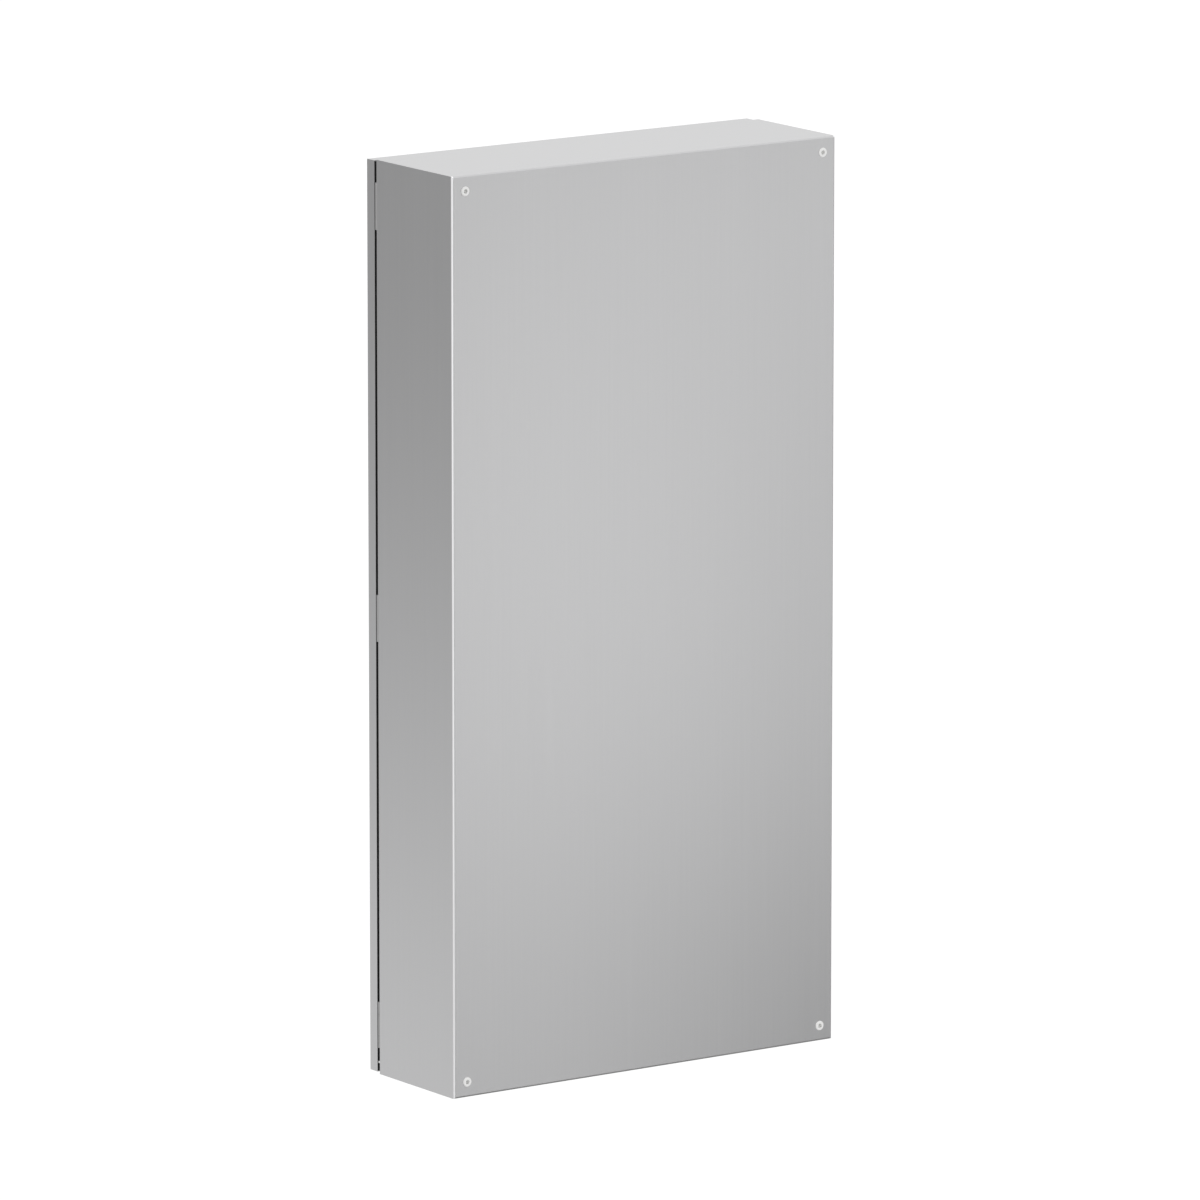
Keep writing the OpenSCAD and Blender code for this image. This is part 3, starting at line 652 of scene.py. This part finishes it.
dress(satin_sheet, *STRIPS)
tack_rings = []
for k in range(TACK_RINGS + 1):
    share = k / TACK_RINGS
    swell = math.sqrt(max(0.0, 1.0 - (2.0 * share - 1.0) ** 2))
    ripple = 1.0 + TACK_RIPPLE * math.sin(math.tau * TACK_RIPPLES * share)
    radius = max(TACK_WIDTH / 2 * swell * ripple, TACK_TIP_R)
    tack_rings.append(circle(radius, TACK_LENGTH * (share - 0.5), TACK_SIDES))
tack_mesh = settle(ring_loft(tack_rings), "tack", sharp_degrees=60.0)

weld_steel = finish("weld_steel", skin_mottle, (0.50, 0.45, 0.38), 0.34, (0.2, 0.00005), METAL,
                    cloud_size=0.003, speck_size=0.0004, contrast=0.12, roughness_spread=0.10)
tack_seats = []
for node_name in STRIPS:
    low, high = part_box(node_name)
    wall_x = low.x if low.x < 0 else high.x
    tack_count = int((high.z - low.z) / TACK_PITCH) + 1
    first_z = (low.z + high.z - (tack_count - 1) * TACK_PITCH) / 2
    for y in (low.y, high.y):
        for k in range(tack_count):
            tack_seats.append(((wall_x, y, first_z + k * TACK_PITCH), (0.0, 0.0, 1.0)))
piece("strip_tacks", copies("strip_tacks", tack_mesh, tack_seats, weld_steel), "cabinet")

# ---- Shelf pins and sleeves ----
# Twelve turned pins, nickel-plated, pushed into the strips' holes.
# The glass rests on a soft clear vinyl sleeve on each.
PIN_STEM_R = 0.0024
PIN_STEM_L = 0.0035
PIN_CHAMFER = 0.0004
PIN_COLLAR_R = 0.0040
PIN_COLLAR_T = 0.0010
PIN_COLLAR_BACK_ARRIS = 0.0002
PIN_COLLAR_ARRIS = 0.0003
PIN_PEG_L = 0.0090
PIN_TIP_R = 0.0010
SLEEVE_R = 0.0035
SLEEVE_L = 0.0080
SLEEVE_BORE_R = 0.00245
SLEEVE_LIP = 0.0003
SLEEVE_SIDES = 32

nickel = finish("bright_nickel", skin_mottle, (0.80, 0.79, 0.77), 0.18, (0.03, 0.00001), METAL,
                cloud_size=0.006, speck_size=0.0002, contrast=0.03, roughness_spread=0.05)
peg_end = PIN_COLLAR_T + PIN_PEG_L
pin_mesh = turned("shelf_pin", [
    (0.0, -PIN_STEM_L), (PIN_STEM_R - PIN_CHAMFER, -PIN_STEM_L), (PIN_STEM_R, -PIN_STEM_L + PIN_CHAMFER),
    (PIN_STEM_R, 0.0), (PIN_COLLAR_R - PIN_COLLAR_BACK_ARRIS, 0.0), (PIN_COLLAR_R, PIN_COLLAR_BACK_ARRIS),
    (PIN_COLLAR_R, PIN_COLLAR_T - PIN_COLLAR_ARRIS), (PIN_COLLAR_R - PIN_COLLAR_ARRIS, PIN_COLLAR_T),
    (PIN_STEM_R, PIN_COLLAR_T),
    *rounded((PIN_STEM_R, peg_end - PIN_TIP_R), (PIN_STEM_R - PIN_TIP_R, peg_end)),
    (0.0, peg_end),
])
pin_seats = [seat(part, (-math.copysign(1.0, part[0].x), 0.0, 0.0), sunk=peg_end)
             for part in loose_parts("shelf_pins")]
piece("shelf_pins_turned", copies("shelf_pins_turned", pin_mesh, pin_seats, nickel), "cabinet",
      ["shelf_pins"])

clear_vinyl = finish("clear_vinyl", skin_mottle, (0.90, 0.93, 0.93), 0.28, (0.08, 0.00002),
                     {"Transmission Weight": 0.55, "IOR": 1.53},
                     cloud_size=0.004, speck_size=0.0004, contrast=0.03, roughness_spread=0.06)
sleeve_mesh = settle(ring_loft([circle(r, z, SLEEVE_SIDES) for r, z in (
    (SLEEVE_BORE_R, 0.0), (SLEEVE_R - SLEEVE_LIP, 0.0), (SLEEVE_R, SLEEVE_LIP),
    (SLEEVE_R, SLEEVE_L - SLEEVE_LIP), (SLEEVE_R - SLEEVE_LIP, SLEEVE_L),
    (SLEEVE_BORE_R, SLEEVE_L), (SLEEVE_BORE_R, 0.0))], closed_ends=False), "pin_sleeve")
sleeve_seats = [(place + facing * PIN_COLLAR_T, facing) for place, facing in pin_seats]
piece("pin_sleeves_soft", copies("pin_sleeves_soft", sleeve_mesh, sleeve_seats, clear_vinyl),
      "cabinet", ["pin_sleeves"])

# ---- Glass shelves ----
# Three loose plates of 5 mm float glass with round corners, the edges ground flat with small arrises.
# The glass is nearly colourless through its face and green along its edges.
LEVELS = ("lower", "middle", "upper")
SHELF_ARRIS = 0.0006
SHELF_CORNER_R = 0.004
SHELF_CORNER_STEPS = 8
FACE_ON = 0.99


def rounded_outline(half_x, half_y, radius, inset):
    """Corner points of a round-cornered rectangle, drawn in by inset."""
    outline = []
    for quarter, (sx, sy) in enumerate(((1, 1), (-1, 1), (-1, -1), (1, -1))):
        for k in range(SHELF_CORNER_STEPS + 1):
            angle = math.pi / 2 * (quarter + k / SHELF_CORNER_STEPS)
            outline.append((sx * (half_x - radius) + (radius - inset) * math.cos(angle),
                            sy * (half_y - radius) + (radius - inset) * math.sin(angle)))
    return outline


shelf_glass = finish("shelf_float_glass", skin_mottle, (0.93, 0.975, 0.955), 0.015, (0.02, 0.00001),
                     {"Transmission Weight": 1.0, "IOR": 1.52},
                     cloud_size=0.05, speck_size=0.004, contrast=0.01, roughness_spread=0.01)
shelf_edge = finish("shelf_glass_edge", skin_mottle, (0.42, 0.70, 0.60), 0.10, (0.03, 0.00001),
                    {"Transmission Weight": 0.8, "IOR": 1.52},
                    cloud_size=0.02, speck_size=0.0006, contrast=0.06, roughness_spread=0.05)
for level in LEVELS:
    low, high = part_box("shelf_" + level)
    middle = (low + high) / 2
    half = (high - low) / 2
    rings = [[(middle.x + x, middle.y + y, z)
              for x, y in rounded_outline(half.x, half.y, SHELF_CORNER_R, inset)]
             for inset, z in ((SHELF_ARRIS, low.z), (0.0, low.z + SHELF_ARRIS),
                              (0.0, high.z - SHELF_ARRIS), (SHELF_ARRIS, high.z))]
    plate = settle(ring_loft(rings), "glass_shelf_" + level, sharp_degrees=25.0)
    plate.materials.append(shelf_glass)
    plate.materials.append(shelf_edge)
    for face in plate.polygons:
        face.material_index = 0 if abs(face.normal.z) > FACE_ON else 1
    piece("glass_shelf_" + level, plate, "cabinet", ["shelf_" + level])

# ---- Hinges ----
# Three butt hinges of stainless strip, the leaves rolled round a stainless pin.
# Low-headed screws with a cross recess hold them to tapped bars behind the sheet.
SCREW_SIDES = 48
NO_WIDTH = 1e-9
SHANK_CHAMFER = 0.0003
HEAD_ARRIS_W = 0.00005
HEAD_ARRIS_H = 0.00008
HEAD_SIDE = 0.45
HEAD_TOP = 0.72
CROSS_MOUTH = (0.56, 0.13)
CROSS_FLOOR = (0.44, 0.09)
HINGE_HEAD_R = 0.0021
HINGE_HEAD_H = 0.00065
HINGE_SHANK_R = 0.00125
HINGE_SHANK_L = 0.0040
HINGE_RECESS = 0.00045
HINGE_SEEDS = {"cabinet": 3, "door": 4}


def cross_outline(arm, half_width, height):
    """Points of a level cross about Z, evenly spread in angle."""
    outline = []
    for k in range(SCREW_SIDES):
        angle = math.tau * k / SCREW_SIDES
        near, far = sorted((abs(math.cos(angle)), abs(math.sin(angle))))
        reach = arm / far
        if near > NO_WIDTH:
            reach = min(reach, half_width / near)
        outline.append((reach * math.cos(angle), reach * math.sin(angle), height))
    return outline


def cross_screw(name, head_r, head_h, shank_r, shank_l, recess):
    """A low-headed screw with a cross recess, its seat at the origin and its head along Z."""
    profile = [
        (shank_r - SHANK_CHAMFER, -shank_l), (shank_r, -shank_l + SHANK_CHAMFER), (shank_r, 0.0),
        (head_r - HEAD_ARRIS_W, 0.0), (head_r, HEAD_ARRIS_H),
        *rounded((head_r, head_h * HEAD_SIDE), (head_r * HEAD_TOP, head_h)),
    ]
    mouth_arm, mouth_half = CROSS_MOUTH
    floor_arm, floor_half = CROSS_FLOOR
    return settle(ring_loft([
        *(circle(r, z, SCREW_SIDES) for r, z in profile),
        cross_outline(head_r * mouth_arm, head_r * mouth_half, head_h),
        cross_outline(head_r * floor_arm, head_r * floor_half, head_h - recess),
    ]), name, sharp_degrees=28.0)


# Its tint is darker than the satin sheet's: painted shade for the hinge knuckles, which sit in the shaded
# gap beside the door.
rolled_strip = finish("rolled_strip", satin_grain, (0.43, 0.43, 0.43), 0.46, (0.05, 0.00001), METAL,
                      line_width=0.0003, line_length=0.03, contrast=0.04, roughness_spread=0.06)
turned_steel = finish("turned_steel", skin_mottle, (0.86, 0.86, 0.86), 0.30, (0.04, 0.00002), METAL,
                      cloud_size=0.004, speck_size=0.0002, contrast=0.03, roughness_spread=0.05)
for level in LEVELS:
    dress(rolled_strip, "frame_leaf_" + level, "door_leaf_" + level)
    dress(turned_steel, "hinge_pin_" + level)
dress(mill_steel, "hinge_bars_body", "hinge_bars_door")
hinge_screw = cross_screw("hinge_screw", HINGE_HEAD_R, HINGE_HEAD_H, HINGE_SHANK_R, HINGE_SHANK_L,
                          HINGE_RECESS)
for body, node_name, facing in (("cabinet", "hinge_screws_body", FROM_WALL),
                                ("door", "hinge_screws_door", TO_WALL)):
    name = "cross_screws_" + body
    seats = [seat(part, facing, sunk=HINGE_HEAD_H) for part in loose_parts(node_name)]
    piece(name, copies(name, hinge_screw, seats, nickel, math.tau, HINGE_SEEDS[body]), body,
          [node_name])

# ---- Door ----
# A shallow pan of the same satin sheet, welded at its edges and ground almost sharp.
# It holds a stiff foamed board, and strips of foam tape on the board carry the mirror.
dress(satin_sheet, "door_pan")
foamed_board = finish("foamed_board", skin_mottle, (0.84, 0.84, 0.82), 0.70, (0.3, 0.0001), {},
                      cloud_size=0.006, speck_size=0.0004, contrast=0.05, roughness_spread=0.08)
dress(foamed_board, "door_core")
foam_tape = finish("foam_tape", skin_mottle, (0.86, 0.86, 0.84), 0.80, (0.4, 0.0001), {},
                   cloud_size=0.004, speck_size=0.0005, contrast=0.06, roughness_spread=0.05)
dress(foam_tape, "mirror_tape")

# ---- Mirror ----
# A 4 mm silvered glass with ground arrises, taped to the board and standing on two rubber setting blocks.
# Silver lies behind the glass and a grey-green backing paint behind that.
# Clear silicone fills the slit round it, tooled hollow, its outer edge drawn forward onto the pan.
MIRROR_ARRIS = 0.0005
BEAD_HOLLOW = 0.00022
BEAD_SECTION = ((0.0, 0.0), (0.2, 0.6), (0.45, 1.0), (0.7, 0.7), (0.9, 0.0), (1.0, -0.9))


def rectangle(half_x, half_z, y):
    """Corners of an upright rectangle at a depth."""
    return [(-half_x, y, -half_z), (half_x, y, -half_z), (half_x, y, half_z), (-half_x, y, half_z)]


silvered = finish("silvered_glass", skin_mottle, (0.90, 0.93, 0.92), 0.012, (0.01, 0.00001),
                  {"Metallic": 1.0, "Coat Weight": 1.0, "Coat Roughness": 0.01},
                  cloud_size=0.08, speck_size=0.004, contrast=0.006, roughness_spread=0.006)
ground_edge = finish("ground_glass_edge", skin_mottle, (0.38, 0.62, 0.53), 0.22, (0.05, 0.00001), {},
                     cloud_size=0.01, speck_size=0.0005, contrast=0.08, roughness_spread=0.08)
backing_paint = finish("backing_paint", skin_mottle, (0.24, 0.28, 0.26), 0.55, (0.1, 0.00002), {},
                       cloud_size=0.03, speck_size=0.0006, contrast=0.08, roughness_spread=0.08)
glass_low, glass_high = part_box("mirror_glass")
half_x, half_z = glass_high.x, glass_high.z
mirror_plate = settle(ring_loft([
    rectangle(half_x - MIRROR_ARRIS, half_z - MIRROR_ARRIS, glass_low.y),
    rectangle(half_x, half_z, glass_low.y + MIRROR_ARRIS),
    rectangle(half_x, half_z, glass_high.y - MIRROR_ARRIS),
    rectangle(half_x - MIRROR_ARRIS, half_z - MIRROR_ARRIS, glass_high.y),
]), "mirror_plate", sharp_degrees=20.0)
for material in (silvered, ground_edge, backing_paint):
    mirror_plate.materials.append(material)
for face in mirror_plate.polygons:
    face.material_index = 0 if face.normal.y < -FACE_ON else 2 if face.normal.y > FACE_ON else 1
piece("mirror_plate", mirror_plate, "door", ["mirror_glass"])

# Its tint is darker than most black rubber: painted shade, so that the strip in the door gap reads black.
# The mirror's setting blocks use it too.
black_rubber_and_gap_shade = finish("black_rubber_and_gap_shade", skin_mottle, (0.018, 0.018, 0.019), 0.75, (0.2, 0.00005),
                      {"Specular IOR Level": 0.25},
                      cloud_size=0.004, speck_size=0.0004, contrast=0.15, roughness_spread=0.08)
dress(black_rubber_and_gap_shade, "mirror_blocks")

silicone = finish("clear_silicone", skin_mottle, (0.80, 0.82, 0.82), 0.30, (0.15, 0.00003),
                  {"Transmission Weight": 0.35, "IOR": 1.43},
                  cloud_size=0.02, speck_size=0.0012, contrast=0.03, roughness_spread=0.06)
bead_low, bead_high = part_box("mirror_bead")
slit = bead_high.x - half_x
bead_rings = [rectangle(half_x + slit * share, half_z + slit * share, bead_low.y + BEAD_HOLLOW * depth)
              for share, depth in BEAD_SECTION]
bead_rings.append(rectangle(bead_high.x, bead_high.z, bead_high.y))
bead_rings.append(rectangle(half_x, half_z, bead_high.y))
bead_rings.append(rectangle(half_x, half_z, bead_low.y))
bead_mesh = settle(ring_loft(bead_rings, closed_ends=False), "sealing_bead", sharp_degrees=50.0)
bead_mesh.materials.append(silicone)
piece("sealing_bead", bead_mesh, "door", ["mirror_bead"])

# ---- Gap shade strip ----
# A thin black strip along the hinge edge of the door's back: a dark sheet that stands in for the shade in
# the gap between door and body.
# It is cut narrower where the knuckles are, and back from the edge where the stop pin meets it.
TAPE_T = 0.0002
TAPE_EDGE_GAP = 0.0001
TAPE_END_GAP = 0.0010
TAPE_WIDE = 0.0026
TAPE_NARROW = 0.0018
TAPE_CUT_GAP = 0.0010
PIN_CUT = 0.0009
PIN_CUT_GAP = 0.0005

pan_low, pan_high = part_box("door_pan")
stop_low, stop_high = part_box("stop_pin")
outer_x = pan_high.x - TAPE_EDGE_GAP
tape_low = pan_low.z + TAPE_END_GAP
tape_high = pan_high.z - TAPE_END_GAP
cut_low = stop_low.z - PIN_CUT_GAP
cut_high = stop_high.z + PIN_CUT_GAP
outline = [(outer_x, tape_low), (outer_x, cut_low), (outer_x - PIN_CUT, cut_low),
           (outer_x - PIN_CUT, cut_high), (outer_x, cut_high), (outer_x, tape_high),
           (outer_x - TAPE_WIDE, tape_high)]
for level in reversed(LEVELS):
    knuckle_low, knuckle_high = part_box("door_leaf_" + level)
    for z, widths in ((knuckle_high.z + TAPE_CUT_GAP, (TAPE_WIDE, TAPE_NARROW)),
                      (knuckle_low.z - TAPE_CUT_GAP, (TAPE_NARROW, TAPE_WIDE))):
        outline += [(outer_x - width, z) for width in widths]
outline.append((outer_x - TAPE_WIDE, tape_low))
# Painted shade: this black strip makes the gap beside the hinges read dark.
shade_strip_mesh = settle(ring_loft([[(x, y, z) for x, z in outline]
                              for y in (pan_high.y, pan_high.y + TAPE_T)]), "light_tape")
shade_strip_mesh.materials.append(black_rubber_and_gap_shade)
piece("light_tape", shade_strip_mesh, "door")

# ---- Latch ----
# A moulded nylon housing screwed to the flange's return, with a sprung plunger that carries a magnet.
# A zinc-plated strike plate is riveted to the back of the door.
FLAT_DEGREES = 1.0
CORNER_DEGREES = 50.0
MOULDED_EDGE = 0.0003
FINE_EDGE = 0.0002


def softened(name, node_name, body, material, width):
    """A copy of a carried-over solid with its sharp edges rounded off, standing for it."""
    shell = bmesh.new()
    shell.from_mesh(nodes[node_name].data)
    bmesh.ops.remove_doubles(shell, verts=shell.verts, dist=SAME_CAD_POINT)
    bmesh.ops.dissolve_limit(shell, angle_limit=math.radians(FLAT_DEGREES), verts=shell.verts,
                             edges=shell.edges)
    edges = [e for e in shell.edges
             if e.is_manifold and e.calc_face_angle() > math.radians(CORNER_DEGREES)]
    bmesh.ops.bevel(shell, geom=edges, offset=width, segments=2, profile=0.5, affect="EDGES",
                    clamp_overlap=True)
    mesh = settle(shell, name, sharp_degrees=20.0)
    for face in mesh.polygons:
        face.use_smooth = len(face.vertices) <= 4
    mesh.materials.append(material)
    piece(name, mesh, body, [node_name])


magnet_ferrite = finish("nickelled_magnet", skin_mottle, (0.55, 0.54, 0.52), 0.25, (0.05, 0.00001), METAL,
                        cloud_size=0.003, speck_size=0.0002, contrast=0.05, roughness_spread=0.06)
zinc_plate = finish("zinc_plate", skin_mottle, (0.60, 0.61, 0.62), 0.30, (0.06, 0.00002), METAL,
                    cloud_size=0.005, speck_size=0.0003, contrast=0.07, roughness_spread=0.08)
softened("latch_housing_moulded", "latch_housing", "cabinet", white_nylon, MOULDED_EDGE)
softened("latch_cap_moulded", "latch_cap", "cabinet", white_nylon, MOULDED_EDGE)
softened("latch_plunger_moulded", "latch_plunger", "plunger", white_nylon, FINE_EDGE)
softened("strike_plate_edged", "strike_plate", "door", zinc_plate, FINE_EDGE)
dress(magnet_ferrite, "latch_magnet")

# ---- Latch spring ----
# It is wound from steel wire, with closed end turns, and stands between the cap and the plunger.
SPRING_WIRE_R = 0.0003
SPRING_WIRE_SIDES = 12
SPRING_TURNS = 5
SPRING_CLOSED_TURNS = 0.9
SPRING_STEPS = 36

spring_wire = finish("spring_wire", skin_mottle, (0.42, 0.42, 0.43), 0.30, (0.05, 0.00001), METAL,
                     cloud_size=0.003, speck_size=0.0002, contrast=0.06, roughness_spread=0.06)
spring_low, spring_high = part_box("latch_spring")
spring_mid = (spring_low + spring_high) / 2
coil_r = (spring_high.x - spring_low.x) / 2 - SPRING_WIRE_R
spring_l = spring_high.y - spring_low.y
closed_rise = 2 * SPRING_WIRE_R * SPRING_CLOSED_TURNS
open_pitch = ((spring_l - 2 * SPRING_WIRE_R - 2 * closed_rise)
              / (SPRING_TURNS - 2 * SPRING_CLOSED_TURNS))
wire_rings = []
for k in range(SPRING_TURNS * SPRING_STEPS + 1):
    turns = k / SPRING_STEPS
    closed_low = min(turns, SPRING_CLOSED_TURNS)
    closed_high = max(turns - SPRING_TURNS + SPRING_CLOSED_TURNS, 0.0)
    closed = closed_low + closed_high
    rise = 2 * SPRING_WIRE_R * closed + open_pitch * (turns - closed)
    angle = math.tau * turns
    wire_rings.append([
        (spring_mid.x + (coil_r + across) * math.cos(angle),
         spring_low.y + SPRING_WIRE_R + rise + lengthwise,
         spring_mid.z + (coil_r + across) * math.sin(angle))
        for across, lengthwise, _ in circle(SPRING_WIRE_R, 0.0, SPRING_WIRE_SIDES)])
spring_mesh = settle(ring_loft(wire_rings), "wound_spring", sharp_degrees=60.0)
spring_mesh.materials.append(spring_wire)
wound_spring = piece("wound_spring", spring_mesh, "cabinet", ["latch_spring"])
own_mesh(wound_spring)

# ---- Latch screws and strike rivets ----
# Two cross-head screws hold the housing to the flange's return, their heads towards the hinge side.
# Two blind rivets with low domed heads and open mandrel holes hold the strike plate.
TO_HINGES = (1.0, 0.0, 0.0)
LATCH_HEAD_R = 0.0029
LATCH_HEAD_H = 0.0020
LATCH_SHANK_R = 0.00145
LATCH_SHANK_L = 0.0130
LATCH_RECESS = 0.0012
LATCH_SEED = 7
RIVET_R = 0.0015
RIVET_HEAD_R = 0.0025
RIVET_HEAD_H = 0.0006
RIVET_DOME_TOP = 0.48
RIVET_MOUTH = 0.34
RIVET_MOUTH_FLOOR = 0.32
RIVET_MOUTH_Z = 0.0002
RIVET_MANDREL_Z = 0.00025
RIVET_TAIL_R = 0.0025
RIVET_TAIL_H = 0.0012
RIVET_TAIL_CHAMFER = 0.0004
RIVET_EDGE = 0.0001

latch_screw = cross_screw("latch_screw", LATCH_HEAD_R, LATCH_HEAD_H, LATCH_SHANK_R, LATCH_SHANK_L,
                          LATCH_RECESS)
seats = [seat(part, TO_HINGES, sunk=LATCH_HEAD_H) for part in loose_parts("latch_screws")]
piece("cross_screws_latch", copies("cross_screws_latch", latch_screw, seats, nickel, math.tau, LATCH_SEED),
      "cabinet", ["latch_screws"])

rivet_low, rivet_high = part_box("strike_rivets")
rivet_l = rivet_high.y - RIVET_HEAD_H - rivet_low.y
rivet_mesh = turned("strike_rivet", [
    (0.0, -rivet_l), (RIVET_TAIL_R - RIVET_TAIL_CHAMFER, -rivet_l),
    (RIVET_TAIL_R, -rivet_l + RIVET_TAIL_CHAMFER), (RIVET_TAIL_R, -rivet_l + RIVET_TAIL_H - RIVET_EDGE),
    (RIVET_R, -rivet_l + RIVET_TAIL_H), (RIVET_R, 0.0), (RIVET_HEAD_R, 0.0),
    *rounded((RIVET_HEAD_R, RIVET_EDGE), (RIVET_HEAD_R * RIVET_DOME_TOP, RIVET_HEAD_H)),
    (RIVET_HEAD_R * RIVET_MOUTH, RIVET_HEAD_H), (RIVET_HEAD_R * RIVET_MOUTH_FLOOR, RIVET_MOUTH_Z),
    (0.0, RIVET_MANDREL_Z),
])
seats = [seat(part, TO_WALL, sunk=RIVET_HEAD_H) for part in loose_parts("strike_rivets")]
piece("strike_rivets_domed", copies("strike_rivets_domed", rivet_mesh, seats, zinc_plate), "door",
      ["strike_rivets"])

# ---- Buffers and stop pin ----
# Two self-adhesive domes of clear soft plastic on the flange, where the door meets it.
# Below the bottom hinge a stop pin is welded on. It is given white nylon as a painted highlight, so that it
# shows as a bright spot in the shaded gap.
BUFFER_R = 0.0032
BUFFER_H = 0.0012
BUFFER_SIDE = 0.00025
BUFFER_STEPS = 8
BUFFER_GLUE = 0.00003

dome_mesh = turned("buffer_dome", [
    (0.0, BUFFER_GLUE), (BUFFER_R, BUFFER_GLUE),
    *rounded((BUFFER_R, BUFFER_SIDE), (0.0, BUFFER_H), BUFFER_STEPS)])
seats = [seat(part, FROM_WALL, sunk=BUFFER_H) for part in loose_parts("door_buffers")]
piece("buffer_domes", copies("buffer_domes", dome_mesh, seats, clear_vinyl), "cabinet",
      ["door_buffers"])
# Painted highlight: the pin is white so that it reads bright in the gap.
dress(white_nylon, "stop_pin")
